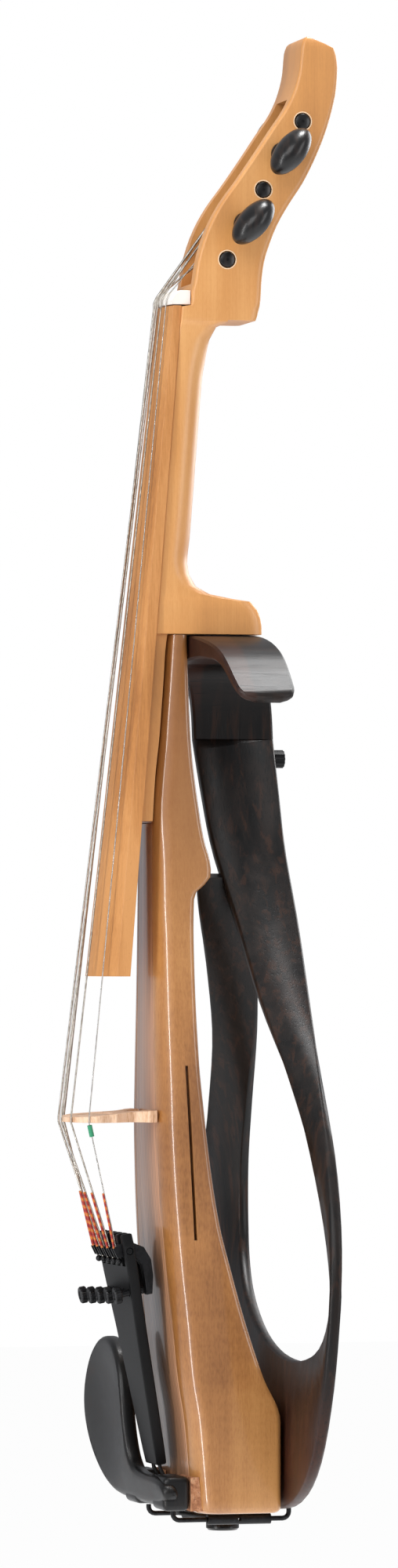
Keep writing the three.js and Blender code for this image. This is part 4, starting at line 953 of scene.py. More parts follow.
@dataclass(frozen=True)
class Stations:
    """Sizes that change along a length, joined by smooth curves that never overshoot."""

    rows: tuple[tuple[float, ...], ...]

    def at(self, place: float) -> list[float]:
        """Reads every size at a place.

        Args:
            place: the place, in the unit of the first column.

        Returns:
            One value for each column after the first.
        """
        places = [row[0] for row in self.rows]
        last = len(places) - 2
        index = min(max(bisect.bisect_right(places, place) - 1, 0), last)
        step = places[index + 1] - places[index]
        share = min(max((place - places[index]) / step, 0.0), 1.0)
        values = []
        for column in range(1, len(self.rows[0])):
            first, second = self.rows[index][column], self.rows[index + 1][column]
            leaving = self._slope(index, column) * step
            arriving = self._slope(index + 1, column) * step
            square, cube = share * share, share**3
            values.append(
                first * (2.0 * cube - 3.0 * square + 1.0)
                + leaving * (cube - 2.0 * square + share)
                + second * (3.0 * square - 2.0 * cube)
                + arriving * (cube - square)
            )
        return values

    def _slope(self, index: int, column: int) -> float:
        """Gives a column's slope at a station, flat where the column turns back.

        Args:
            index: the station.
            column: the column.

        Returns:
            The slope per unit of the first column.
        """
        low, high = max(index - 1, 0), min(index + 1, len(self.rows) - 1)
        slopes = []
        for first, second in ((low, index), (index, high)):
            if first != second:
                rise = self.rows[second][column] - self.rows[first][column]
                slopes.append(rise / (self.rows[second][0] - self.rows[first][0]))
        if len(slopes) == 1:
            return slopes[0]
        before, after = slopes
        if before * after <= 0.0:
            return 0.0
        return 2.0 * before * after / (before + after)


@dataclass
class NeckAndHead:
    """The maple neck with its head, nut, fingerboard and pegs.

    The stations and the sizes of the neck's outline and pegbox are in millimetres.
    """

    bench: Bench
    head_start: float = 488.16
    hanger_low: Vector = field(default_factory=lambda: Vector((-1.6, -28.0, 480.5)) * MM)
    hanger_high: Vector = field(default_factory=lambda: Vector((45.0, 28.0, 482.5)) * MM)
    head_half_width: float = 14.0 * MM
    front_round: float = 0.6
    head_round: float = 1.3
    board_gap: float = 0.24
    level_step: float = 2.5
    pegbox_half: float = 7.8
    pegbox_floor: float = 5.2
    pegbox_low: float = 497.0
    pegbox_high: float = 571.5
    pegbox_mouth: float = 3.0
    bore_ends: tuple[float, float] = (16.5, 16.0)
    bore_radii: tuple[float, float] = (3.3 * MM, 4.2 * MM)
    bushing_inner: float = 3.45 * MM
    bushing_outer: float = 3.85 * MM
    bushing_stand: float = 0.14 * MM
    bushing_depth: float = 0.8 * MM
    bushing_soft: float = 0.12 * MM
    tip_radius: float = 3.0 * MM
    tip_soft: float = 0.25 * MM
    shank_radius: float = 3.88 * MM
    collar_radius: float = 5.0 * MM
    dot_radius: float = 0.75 * MM
    dot_depth: float = 0.3 * MM
    dot_stand: float = 0.12 * MM
    dot_middle: float = 0.05 * MM
    tip_stand: float = 0.5 * MM
    collar: float = 14.45 * MM
    collar_length: float = 2.4 * MM
    thumb_radii: Vector = field(default_factory=lambda: Vector((5.9, 8.5, 11.0)) * MM)
    thumb_sides: dict[Course, int] = field(
        default_factory=lambda: dict(zip(Course, (-1, -1, 1, 1, 1)))
    )
    thumb_turns: dict[Course, float] = field(
        default_factory=lambda: dict(zip(Course, (0.72, 0.66, 0.9, 0.5, 0.75)))
    )
    stations: Stations = Stations(
        (
            # Height, front, back, half width, and the back corners' rounding in depth and width.
            (282.9, -37.97, -32.29, 13.5, 0.3, 0.3),
            (299.7, -36.49, -31.35, 13.5, 0.3, 0.3),
            (316, -35.05, -29.62, 13.5, 0.3, 0.3),
            (337, -33.2, -28.0, 13.5, 0.3, 0.3),
            (357.2, -31.42, -26.3, 13.5, 0.3, 0.3),
            (357.35, -31.41, 12.6, 15.5, 5.63, 2.48),
            (360.9, -31.09, 12.6, 15.5, 5.59, 2.48),
            (367.05, -30.55, 11.0, 15.5, 5.98, 2.79),
            (370.53, -30.25, 8.1, 15.5, 6.14, 3.1),
            (371.55, -30.16, 0.9, 15.35, 5.96, 3.68),
            (373.4, -29.99, -7.94, 15.19, 7.06, 6.08),
            (376.48, -29.72, -12.8, 15.04, 8.8, 9.77),
            (381.2, -29.31, -14.98, 14.88, 9.75, 12.65),
            (385.91, -28.89, -15.49, 14.72, 10.19, 13.99),
            (395.34, -28.06, -14.46, 14.26, 10.33, 13.55),
            (423.43, -25.59, -12.1, 13.33, 10.25, 12.66),
            (451.71, -23.1, -9.79, 12.56, 10.11, 11.93),
            (460.94, -22.28, -8.9, 12.4, 10.17, 11.78),
            (467.09, -21.74, -7.94, 12.4, 9.94, 11.16),
            (475.08, -21.04, -6.66, 12.56, 8.63, 9.42),
            (480.01, -20.6, -4.61, 13.02, 6.4, 6.51),
            (481.75, -20.45, -0.64, 13.64, 4.75, 4.09),
            (482.05, -20.42, 10.2, 13.87, 3.92, 2.22),
            (483.69, -20.28, 10.91, 13.95, 3.99, 2.23),
            (487.59, -19.94, 11.9, 14.0, 4.08, 2.24),
            (488.16, -16.2, 12.02, 14, 3.16, 1.96),
            (493.43, -16.2, 12.65, 14, 3.23, 1.96),
            (497.01, -15.21, 12.78, 14, 3.13, 1.96),
            (505.47, -13.81, 13.81, 14, 3.09, 1.96),
            (513.5, -11.61, 16.2, 14, 3.11, 1.96),
            (520.98, -8.6, 19.3, 14, 3.12, 1.96),
            (529.45, -3.78, 24.21, 14, 3.13, 1.96),
            (537.69, 2.29, 29.7, 14, 3.07, 1.96),
            (548.33, 9.72, 35.19, 14, 2.85, 1.96),
            (558.74, 16.7, 39.42, 14, 2.55, 1.96),
            (568.07, 22.95, 42.21, 14, 2.16, 1.96),
            (575.99, 26.41, 43.78, 14, 1.95, 1.96),
            (584.35, 28.39, 44.28, 14, 1.78, 1.96),
            (589.66, 28.84, 43.6, 14, 1.65, 1.96),
            (592.16, 29.07, 42.7, 13.93, 1.53, 1.95),
            (593.79, 29.48, 39.15, 13.79, 1.08, 1.93),
            (595.31, 30.06, 35.1, 13.44, 0.8, 1.88),
            (596.17, 31.05, 33.08, 12.95, 0.8, 1.81),
            (596.5, 31.72, 32.4, 12.6, 0.27, 1.76),
        )
    )

    def build(self) -> None:
        """Builds the neck and the pegs and finishes the board and the nut."""
        centres = {joint["name"]: Vector(joint["pos_m"]) for joint in frame["joints"]}
        pegs = {course: centres[f"peg_{course.label}_turn"] for course in Course}
        self._neck(pegs)
        self.bench.refine("fingerboard", "board", 30.0, edge=0.35 * MM)
        self.bench.refine("nut", "bone", 30.0, edge=0.2 * MM)
        for course, centre in pegs.items():
            self._peg(course, centre)
            self._bushing(course, centre)
            self._tip_dot(course, centre)

    def _ring(self, height: float) -> list[Vector]:
        """Draws the neck's outline at a height in millimetres."""
        front, back, half, round_depth, round_width = self.stations.at(height)
        on_head = height > self.head_start
        soft = self.head_round if on_head else self.front_round
        front -= 0.0 if on_head else self.board_gap
        soft = min(soft, (back - front) / 3.0)
        side = []
        for turn in quarter(5):
            depth = front + soft - soft * math.cos(turn)
            side.append((depth, half - soft + soft * math.sin(turn)))
        for turn in quarter(12):
            depth = back - round_depth + round_depth * math.sin(turn)
            side.append((depth, half - round_width + round_width * math.cos(turn)))
        return [Vector((x, y, height)) * MM for x, y in both_sides(side)]

    def _neck(self, pegs: dict[Course, Vector]) -> None:
        """Builds the neck from the tongue to the head's top, with the pegbox and the pegs' holes.

        Args:
            pegs: a point on each peg's axis.
        """
        places = [row[0] for row in self.stations.rows]
        heights = set(places)
        for low, high in zip(places, places[1:]):
            count = max(int((high - low) / self.level_step), 1)
            heights.update(low + (high - low) * step / count for step in range(1, count))
        rings = [self._ring(height) for height in sorted(heights)]
        neck = self.bench.from_sheet("neck_smooth", self.bench.loft(rings))
        openings = [self._pegbox(), self.bench.box(self.hanger_low, self.hanger_high)]
        for course, centre in pegs.items():
            out = self._outward(course)
            start = centre - out * self.bore_ends[0] * MM
            end = centre + out * self.bore_ends[1] * MM
            openings.append(self.bench.rod(self.bore_radii[0], start, end, self.bore_radii[1]))
        self.bench.cut(neck, openings, 35.0)
        self.bench.swap(neck, "neck", "neck")

    def _pegbox(self) -> bmesh.types.BMesh:
        """Makes the shape of the pegs' slot, open at the front, with a floor of even depth."""
        rings = []
        count = int((self.pegbox_high - self.pegbox_low) / self.level_step)
        for step in range(count + 1):
            height = self.pegbox_low + (self.pegbox_high - self.pegbox_low) * step / count
            front, back = self.stations.at(height)[:2]
            near, floor = front - self.pegbox_mouth, back - self.pegbox_floor
            corners = ((near, -1.0), (floor, -1.0), (floor, 1.0), (near, 1.0))
            across = self.pegbox_half
            rings.append([Vector((x, side * across, height)) * MM for x, side in corners])
        return self.bench.loft(rings)

    def _outward(self, course: Course) -> Vector:
        """The direction from a peg's middle to its thumb piece."""
        return Vector((0.0, float(self.thumb_sides[course]), 0.0))

    def _peg(self, course: Course, centre: Vector) -> None:
        """Turns a peg and adds its thumb piece.

        Args:
            course: the peg's string.
            centre: a point on the peg's axis.
        """
        outward = self._outward(course)
        tip = -self.head_half_width - self.tip_stand
        wide, length = self.collar_radius, self.collar_length
        thumb = self.collar + length
        # Distances from the axis, and along it from the peg's middle.
        profile = [
            (0.0, tip),
            (self.tip_radius - self.tip_soft, tip),
            (self.tip_radius, tip + self.tip_soft * 0.8),
            (self.shank_radius, self.collar),
            (wide * 0.95, self.collar + self.tip_soft * 0.4),
            (wide, self.collar + length * 0.3),
            (wide * 0.96, self.collar + length * 0.75),
            (wide * 0.84, thumb),
            (wide * 0.62, thumb + length * 0.35),
            (wide * 0.59, thumb + length * 1.6),
            (0.0, thumb + length * 1.8),
        ]
        sheet = self.bench.turned(profile, outward, centre, 40)
        middle = centre + outward * (thumb + length * 0.6 + self.thumb_radii.y)
        turn = Matrix.Rotation(self.thumb_turns[course], 4, "Y")
        shape = Matrix.Translation(middle) @ turn @ Matrix.Diagonal((*self.thumb_radii, 1.0))
        bmesh.ops.create_uvsphere(sheet, u_segments=36, v_segments=22, radius=1.0, matrix=shape)
        node = f"peg_{course.label}"
        piece = self.bench.from_sheet(f"{node}_turned", sheet, 50.0)
        self.bench.swap(piece, "ebony", node)

    def _bushing(self, course: Course, centre: Vector) -> None:
        """Sets a ring in the cheek round a peg's small end, its pale colour a painted highlight on
        the countersunk edge.

        Args:
            course: the peg's string.
            centre: a point on the peg's axis.
        """
        outward = -self._outward(course)
        face = centre + outward * self.head_half_width
        profile = [
            (self.bushing_inner, -self.bushing_depth),
            (self.bushing_outer, -self.bushing_depth),
            (self.bushing_outer, self.bushing_stand * 0.5),
            (self.bushing_outer - self.bushing_soft, self.bushing_stand),
            (self.bushing_inner + self.bushing_soft, self.bushing_stand),
            (self.bushing_inner, self.bushing_stand * 0.5),
        ]
        ring = self.bench.turned(profile, outward, face, 36)
        piece = self.bench.from_sheet(f"peg_bushing_{course.label}", ring)
        # The pale finish is a painted highlight on the countersunk edge.
        self.bench.keep(piece, "lip", INSTRUMENT, "maple")

    def _tip_dot(self, course: Course, centre: Vector) -> None:
        """Adds the small centre mark on a peg's flush end.

        Args:
            course: the peg's string.
            centre: a point on the peg's axis.
        """
        outward = -self._outward(course)
        face = centre + outward * (self.head_half_width + self.tip_stand)
        profile = [
            (0.0, -self.dot_depth),
            (self.dot_radius, -self.dot_depth),
            (self.dot_radius * 0.8, self.dot_stand),
            (0.0, self.dot_middle),
        ]
        dot = self.bench.turned(profile, outward, face, 20)
        piece = self.bench.from_sheet(f"peg_dot_{course.label}", dot)
        self.bench.keep(piece, "black", f"peg_{course.label}", "ebony")


@dataclass
class CentreBody:
    """The glossy body with its spruce front, bridge, pickup, jack and end button."""

    bench: Bench
    foot: float = 8.6 * MM
    length: float = 348.4 * MM
    depth: float = 34.0 * MM
    half_width: float = 34.0 * MM
    shoulder: float = 7.0 * MM
    back_round: float = 2.5 * MM
    foot_round: float = 2.6 * MM
    level_step: float = 3.0 * MM
    plate_start: float = 18.0 * MM
    plate_length: float = 264.0 * MM
    plate_thickness: float = 2.8 * MM
    plate_edge: float = 0.25 * MM
    gap: float = 0.3 * MM
    slot: Vector = field(default_factory=lambda: Vector((1.2, 12.0, 69.0)) * MM)
    slot_centre: tuple[float, float] = (-20.6 * MM, 151.5 * MM)
    slot_lean: float = -0.035
    jack_centre: tuple[float, float] = (-7.0 * MM, 60.0 * MM)
    jack_radius: float = 5.9 * MM
    jack_depth: float = 30.0 * MM
    button_radius: float = 4.2 * MM
    button_depth: float = 36.0 * MM
    overrun: float = 2.0 * MM
    saddle: Vector = field(default_factory=lambda: Vector((6.0, 22.0, 4.0)) * MM)
    stations: Stations = Stations(
        (
            # Share of the length, front and back in depths, side and flat front in half widths.
            (0.0, -0.547, 0.45, 1.0, 0.66),
            (0.104, -0.641, 0.45, 1.0, 0.66),
            (0.155, -0.72, 0.241, 0.985, 0.647),
            (0.218, -0.782, 0.026, 0.97, 0.62),
            (0.282, -0.847, -0.153, 0.941, 0.59),
            (0.327, -0.882, -0.264, 0.912, 0.56),
            (0.387, -0.918, -0.356, 0.868, 0.5),
            (0.457, -0.941, -0.43, 0.82, 0.44),
            (0.512, -0.941, -0.473, 0.765, 0.41),
            (0.594, -0.941, -0.497, 0.676, 0.353),
            (0.65, -0.941, -0.503, 0.632, 0.325),
            (0.698, -0.941, -0.487, 0.588, 0.31),
            (0.708, -0.941, -0.45, 0.583, 0.305),
            (0.719, -0.941, -0.31, 0.58, 0.303),
            (0.727, -0.941, -0.277, 0.576, 0.301),
            (0.742, -0.941, -0.29, 0.567, 0.3),
            (0.762, -0.941, -0.345, 0.545, 0.298),
            (0.788, -0.941, -0.39, 0.515, 0.295),
            (0.882, -0.862, -0.497, 0.47, 0.265),
            (1.0, -0.765, -0.538, 0.44, 0.235),
        )
    )

    def build(self) -> None:
        """Finishes the pieces."""
        self._shell()
        self._plate()
        self.bench.refine("bridge", "bridge", 30.0, edge=0.25 * MM)
        self.bench.refine("pickup", "ceramic", 30.0)
        self.bench.refine("output_jack", "steel", 40.0)
        self.bench.refine("end_button", "ebony", 42.0)
        self.bench.refine("saddle", "ebony", 30.0, edge=0.2 * MM)

    def _at(self, height: float) -> tuple[float, float, float, float]:
        """Gives the body's front, back, half width and half of its flat front at a height."""
        front, back, half, flat = self.stations.at((height - self.foot) / self.length)
        wide = self.half_width
        return front * self.depth, back * self.depth, half * wide, flat * wide

    def _ring(self, height: float, sink: float) -> list[Vector]:
        """Draws the body's outline at a height.

        Args:
            height: the level in metres.
            sink: the depth of the pocket for the spruce there.

        Returns:
            The points round the body.
        """
        front, back, half, flat = self._at(height)
        rise = min(height - self.foot, self.foot_round)
        inset = self.foot_round - math.sqrt(self.foot_round**2 - (self.foot_round - rise) ** 2)
        front, back, half = front + inset, back - inset, half - inset
        flat = min(flat, half - self.shoulder / 2.0)
        wall = flat + self.gap
        soft = min(self.shoulder, (back - front) / 2.0)
        points = []
        for turn in quarter(16):
            across = flat + (half - flat) * math.sin(turn)
            points.append((front + soft - soft * math.cos(turn), max(across, wall)))
        reach = self.back_round
        for turn in quarter(6):
            depth = back - reach + reach * math.sin(turn)
            points.append((depth, half - reach + reach * math.cos(turn)))
        pocket = [(front + sink, wall if sink else flat * 0.98)]
        side = pocket + points
        return [Vector((x, y, height)) for x, y in both_sides(side)]

    def _shell(self) -> None:
        """Builds the smooth shell with its pockets, slots and bores."""
        top = self.foot + self.length
        low, high = self.plate_start - self.gap, self.plate_start + self.plate_length + self.gap
        depth = self.plate_thickness + self.gap
        rounds = [self.foot + self.foot_round * (1.0 - math.cos(turn)) for turn in quarter(6)]
        span = top - rounds[-1]
        count = int(span / self.level_step)
        heights = rounds + [rounds[-1] + span * step / count for step in range(1, count + 1)]
        levels = [(height, depth if low < height < high else 0.0) for height in heights]
        levels += [(low, 0.0), (low, depth), (high, 0.0), (high, depth)]
        # Where the pocket starts and ends, its wall needs both outlines at one height.
        levels.sort(key=lambda level: (level[0], level[1] if level[0] < top / 2.0 else -level[1]))
        rings = [self._ring(*level) for level in levels]
        shell = self.bench.from_sheet("body_shell", self.bench.loft(rings))
        self.bench.cut(shell, self._openings(), 38.0)
        self.bench.swap(shell, "shell", "body")

    def _openings(self) -> list[bmesh.types.BMesh]:
        """Makes the shapes of the side slots, the saddle's seat and the two bores."""
        openings = []
        half = self._at(self.slot_centre[1])[2]
        for side in (-1.0, 1.0):
            slot = self.bench.box(-self.slot / 2.0, self.slot / 2.0)
            place = Matrix.Translation((self.slot_centre[0], side * half, self.slot_centre[1]))
            lean = Matrix.Rotation(self.slot_lean, 4, "Y")
            bmesh.ops.transform(slot, matrix=place @ lean, verts=slot.verts)
            openings.append(slot)
        front = self._at(self.foot + self.saddle.z)[0]
        spread = self.saddle.y / 2.0 + self.gap
        low = Vector((front - self.overrun, -spread, self.foot - self.overrun))
        inner = front + self.saddle.x + self.gap
        high = Vector((inner, spread, self.foot + self.saddle.z + self.gap))
        openings.append(self.bench.box(low, high))
        half = self._at(self.jack_centre[1])[2]
        start = Vector((self.jack_centre[0], half - self.jack_depth, self.jack_centre[1]))
        end = Vector((start.x, half + 2.0 * self.overrun, start.z))
        openings.append(self.bench.rod(self.jack_radius, start, end))
        start, end = Vector((0.0, 0.0, self.overrun)), Vector((0.0, 0.0, self.button_depth))
        openings.append(self.bench.rod(self.button_radius, start, end))
        return openings

    def _plate(self) -> None:
        """Builds the spruce strip that lies in the front."""
        edge = self.plate_edge
        count = int(self.plate_length / self.level_step)
        rings = []
        for step in range(count + 1):
            height = self.plate_start + self.plate_length * step / count
            front, _, _, flat = self._at(height)
            inner = front + self.plate_thickness
            side = [
                (inner, flat),
                (front + edge, flat),
                (front + edge * 0.3, flat - edge * 0.3),
                (front, flat - edge),
            ]
            ring = side + [(x, -y) for x, y in reversed(side)]
            rings.append([Vector((x, y, height)) for x, y in ring])
        plate = self.bench.from_sheet("top_plate_finished", self.bench.loft(rings), 50.0)
        self.bench.swap(plate, "spruce", "top_plate")


@dataclass
class StringSet:
    """The strings with the silk on their lower ends and the sleeve on the thinnest."""

    bench: Bench
    bridge_place: float = 163.4 * MM
    bridge_crown: float = -65.8 * MM
    bridge_radius: float = 36.0 * MM
    bridge_pitch: float = 10.0 * MM
    tail_pitch: float = 8.0 * MM
    tail_end: Vector = field(default_factory=lambda: Vector((-47.65, 0.0, 107.54)) * MM)
    gap: float = 0.3 * MM
    silk_start: float = 0.5
    silk_end: float = 0.9
    silk_turn: float = 0.42 * MM
    silk_thickness: float = 0.24 * MM
    silk_valley: float = 0.84
    silk_tip: float = 0.72
    ball_reach: float = 4.0 * MM
    diameters: dict[Course, float] = field(
        default_factory=lambda: dict(
            zip(Course, (0.5 * MM, 0.7 * MM, 0.8 * MM, 0.85 * MM, 1.1 * MM))
        )
    )

    def build(self) -> None:
        """Finishes the strings and winds the silk."""
        for course in Course:
            metal = "steel" if course is Course.E else "winding"
            string = self.bench.refine(f"string_{course.label}", metal, 65.0)
            self._darken_ball(course, string)
            self._silk(course)
        self.bench.refine("string_sleeve", "sleeve", 40.0)

    def _ends(self, course: Course) -> tuple[Vector, Vector]:
        """Finds where a string leaves the bridge and where it ends at the tailpiece.

        Args:
            course: the string.

        Returns:
            The two points.
        """
        reach = self.bridge_radius + self.diameters[course] / 2.0 + self.gap
        angle = math.asin(course.value * self.bridge_pitch / self.bridge_radius)
        depth = self.bridge_crown + self.bridge_radius - reach * math.cos(angle)
        start = Vector((depth, reach * math.sin(angle), self.bridge_place))
        return start, self.tail_end + Vector((0.0, course.value * self.tail_pitch, 0.0))

    def _darken_ball(self, course: Course, string: bpy.types.Object) -> None:
        """Gives the ball at a string's lower end a dark metal.

        Args:
            course: the string.
            string: its piece.
        """
        string.data.materials.append(self.bench.finishes.get("dark_metal"))
        end = self._ends(course)[1]
        for face in string.data.polygons:
            if (face.center - end).length < self.ball_reach:
                face.material_index = 1

    def _silk(self, course: Course) -> None:
        """Winds the silk as a tube with one ridge for each turn of the thread.

        Args:
            course: the string.
        """
        start, end = self._ends(course)
        first = start.lerp(end, self.silk_start)
        last = start.lerp(end, self.silk_end)
        radius = self.diameters[course] / 2.0 + self.silk_thickness
        along = (last - first).normalized()
        turns = int((last - first).length / self.silk_turn)
        sheet = bmesh.new()
        tip = radius * self.silk_tip
        made = bmesh.ops.create_circle(sheet, cap_ends=True, radius=tip, segments=10)
        turn = along.to_track_quat("Z", "Y").to_matrix().to_4x4()
        bmesh.ops.transform(sheet, matrix=Matrix.Translation(first) @ turn, verts=made["verts"])
        rim = list(sheet.edges)
        for index in range(1, 2 * turns + 1):
            made = bmesh.ops.extrude_edge_only(sheet, edges=rim)["geom"]
            points = [item for item in made if isinstance(item, bmesh.types.BMVert)]
            edges = [item for item in made if isinstance(item, bmesh.types.BMEdge)]
            rim = [edge for edge in edges if edge.is_boundary]
            bmesh.ops.translate(sheet, verts=points, vec=along * self.silk_turn / 2.0)
            centre = sum((point.co for point in points), Vector()) / len(points)
            wanted = radius * (1.0 if index % 2 else self.silk_valley)
            if index == 2 * turns:
                wanted = tip
            share = (wanted / (points[0].co - centre).length,) * 3
            bmesh.ops.scale(sheet, vec=share, space=Matrix.Translation(-centre), verts=points)
        bmesh.ops.contextual_create(sheet, geom=rim)
        bmesh.ops.recalc_face_normals(sheet, faces=sheet.faces)
        piece = self.bench.from_sheet(f"silk_{course.label}", sheet, 70.0)
        self.bench.keep(piece, "silk", INSTRUMENT, "sleeve")


@dataclass
class TailGear:
    """The tailpiece with its built-in fine tuners, and its cord."""

    bench: Bench
    foot: Vector = field(default_factory=lambda: Vector((-27.4, 0.0, 27.0)) * MM)
    tilt: float = 0.187
    pitch: float = 8.0 * MM
    screw_height: float = 70.5 * MM
    plate_half: float = 2.3 * MM
    first_stand: float = 2.4 * MM
    stand_step: float = 1.5 * MM
    head_length: float = 3.8 * MM
    head_thickness: float = 2.7 * MM
    screw_reach: float = 3.6 * MM
    shaft_radius: float = 1.25 * MM
    point_radius: float = 0.4 * MM
    point_length: float = 0.3 * MM
    dimple: float = 0.35 * MM
    knurl_radius: float = 3.4 * MM
    knurl_teeth: int = 22
    tooth: float = 0.28 * MM
    chamfer: float = 0.4 * MM

    def build(self) -> None:
        """Finishes the tailpiece, its levers and its cord, and turns the knurled screws."""
        self.bench.refine("tailpiece", "black", 35.0, edge=0.15 * MM)
        self.bench.refine("tuner_axle", "dark_metal", 40.0)
        self.bench.refine("tail_cord", "cord", 50.0)
        for course in Course:
            self.bench.refine(f"tuner_lever_{course.label}", "dark_metal", 40.0, edge=0.15 * MM)
            self._screw(course)

    def _place(self, depth: float, across: float, height: float) -> Vector:
        """Gives a point of the tilted tailpiece by its depth, its side and its height."""
        return self.foot + Matrix.Rotation(-self.tilt, 3, "Y") @ Vector((depth, across, height))

    def _screw(self, course: Course) -> None:
        """Turns a tuner's screw with a knurled head.

        Args:
            course: the screw's string.
        """
        stand = self.first_stand + (course.value - Course.E.value) * self.stand_step
        out = self.plate_half + stand + self.head_length
        tip = self._place(self.screw_reach, course.value * self.pitch, self.screw_height)
        crown = self._place(-out, course.value * self.pitch, self.screw_height)
        along = (crown - tip).normalized()
        length = (crown - tip).length
        neck = length - self.head_thickness
        # Distance from the axis, reach from the tip, and the depth of the knurling there.
        profile = [
            (self.point_radius, 0.0, 0.0),
            (self.shaft_radius, self.point_length, 0.0),
            (self.shaft_radius, neck, 0.0),
            (self.knurl_radius - self.chamfer, neck, 0.0),
            (self.knurl_radius, neck + self.chamfer, self.tooth),
            (self.knurl_radius, length - self.chamfer, self.tooth),
            (self.knurl_radius - self.chamfer, length, 0.0),
            (self.knurl_radius * 0.55, length, 0.0),
            (self.knurl_radius * 0.5, length - self.dimple, 0.0),
        ]
        turn = along.to_track_quat("Z", "Y").to_matrix()
        rings = []
        for radius, reach, tooth in profile:
            ring = []
            for step in range(2 * self.knurl_teeth):
                angle = step * math.pi / self.knurl_teeth
                share = radius - (tooth if step % 2 else 0.0)
                point = Vector((share * math.cos(angle), share * math.sin(angle), reach))
                ring.append(tip + turn @ point)
            rings.append(ring)
        node = f"tuner_screw_{course.label}"
        piece = self.bench.from_sheet(f"{node}_knurled", self.bench.loft(rings), 28.0)
        self.bench.swap(piece, "dark_metal", node)


@dataclass
class ChinGear:
    """The chin rest with its cork and its clamps."""

    bench: Bench
    front: float = 37.3 * MM
    thickness: float = 6.3 * MM
    height: float = 66.5 * MM
    reach: float = 82.8 * MM
    foot: float = 9.7 * MM
    rim: float = 2.1 * MM
    cell: float = 2.6 * MM
    bend: float = 5.6 * MM
    bend_height: float = 46.0 * MM
    dish_depth: float = 3.0 * MM
    dish_centre: tuple[float, float] = (49.0 * MM, 44.5 * MM)
    dish_radii: tuple[float, float] = (33.0 * MM, 31.0 * MM)
    foot_inner: float = 12.0 * MM
    foot_outer: float = 31.0 * MM
    foot_height: float = 14.0 * MM
    foot_round: float = 2.4 * MM
    foot_sink: float = 1.5 * MM
    foot_lift: float = 0.3 * MM
    seat: float = -21.6 * MM
    outline: tuple[tuple[float, float], ...] = (
        # Across in reaches and up in heights.
        (-0.41, 0.02),
        (-0.41, 0.2),
        (0.1, 0.205),
        (0.19, 0.27),
        (0.22, 0.42),
        (0.235, 0.62),
        (0.29, 0.82),
        (0.39, 0.95),
        (0.53, 1.0),
        (0.7, 0.97),
        (0.86, 0.86),
        (0.96, 0.7),
        (0.995, 0.52),
        (0.95, 0.34),
        (0.84, 0.18),
        (0.68, 0.065),
        (0.46, 0.02),
    )

    def build(self) -> None:
        """Builds the chin rest and finishes its corks and clamps."""
        self._plate()
        for side in ("treble", "bass"):
            self.bench.refine(f"chin_rest_cork_{side}", "cork", 30.0)
            self.bench.refine(f"clamp_front_hook_{side}", "thread", 50.0)
            self.bench.refine(f"clamp_back_hook_{side}", "thread", 50.0)
            self.bench.refine(f"clamp_barrel_{side}", "dark_metal", 40.0)

    def _smooth_outline(self) -> list[tuple[float, float]]:
        """Rounds the outline's corners by cutting them three times over."""
        points = [(y * self.reach, self.foot + z * self.height) for y, z in self.outline]
        for _ in range(3):
            following = points[1:] + points[:1]
            cut = []
            for (ya, za), (yb, zb) in zip(points, following):
                cut.append((ya * 0.75 + yb * 0.25, za * 0.75 + zb * 0.25))
                cut.append((ya * 0.25 + yb * 0.75, za * 0.25 + zb * 0.75))
            points = cut
        return points

    def _plate(self) -> None:
        """Builds the dished plate, bent towards the body at its foot, with its two feet."""
        points = self._smooth_outline()
        sheet = bmesh.new()
        made = bmesh.ops.create_circle(sheet, cap_ends=True, radius=1.0, segments=len(points))
        for vert, (across, up) in zip(made["verts"], points):
            vert.co = (-self.front, across, up)
        made = bmesh.ops.extrude_face_region(sheet, geom=list(sheet.faces))["geom"]
        back = [item for item in made if isinstance(item, bmesh.types.BMVert)]
        bmesh.ops.translate(sheet, verts=back, vec=(self.thickness, 0.0, 0.0))
        bmesh.ops.recalc_face_normals(sheet, faces=sheet.faces)
        rims = [
            edge
            for edge in sheet.edges
            if abs(edge.verts[0].co.x - edge.verts[1].co.x) < self.thickness / 2.0
        ]
        self.bench.round_edges(sheet, rims, self.rim, 4)
        treble_end = self.outline[0][0] * self.reach
        self._slice(sheet, Vector((0.0, 1.0, 0.0)), treble_end, self.reach)
        self._slice(sheet, Vector((0.0, 0.0, 1.0)), self.foot, self.foot + self.height)
        for vert in sheet.verts:
            vert.co.x += self._dish(vert.co) + self._bend(vert.co.z)
        plate = self.bench.from_sheet("chin_rest_plate", sheet, 40.0)
        self.bench.swap(plate, "rest", "chin_rest")
        start = -self.front + self.thickness - self.foot_sink
        for name, side in (("treble", -1.0), ("bass", 1.0)):
            near, far = sorted((side * self.foot_inner, side * self.foot_outer))
            low = Vector((start, near, self.foot + self.foot_lift))
            high = Vector((self.seat, far, self.foot + self.foot_height))
            block = self.bench.box(low, high, self.foot_round)
            foot = self.bench.from_sheet(f"chin_rest_foot_{name}", block)
            self.bench.keep(foot, "rest", INSTRUMENT, self.bench.slots["chin_rest"])

    def _slice(self, sheet: bmesh.types.BMesh, axis: Vector, low: float, high: float) -> None:
        """Cuts the plate's faces into strips, so that it can bend.

        Args:
            sheet: the plate.
            axis: the direction across the strips.
            low: where the plate starts along the axis.
            high: where it ends.
        """
        for step in range(1, int((high - low) / self.cell)):
            bmesh.ops.bisect_plane(
                sheet,
                geom=[*sheet.verts, *sheet.edges, *sheet.faces],
                dist=0.01 * MM,
                plane_co=axis * (low + step * self.cell),
                plane_no=axis,
            )

    def _dish(self, point: Vector) -> float:
        """Gives the depth of the hollow at a point of the front.

        Args:
            point: a point of the flat plate.

        Returns:
            The depth in metres, 0 off the front face.
        """
        if point.x > -self.front + 0.05 * MM:
            return 0.0
        across = (point.y - self.dish_centre[0]) / self.dish_radii[0]
        up = (point.z - self.dish_centre[1]) / self.dish_radii[1]
        return self.dish_depth * max(1.0 - across * across - up * up, 0.0) ** 1.5

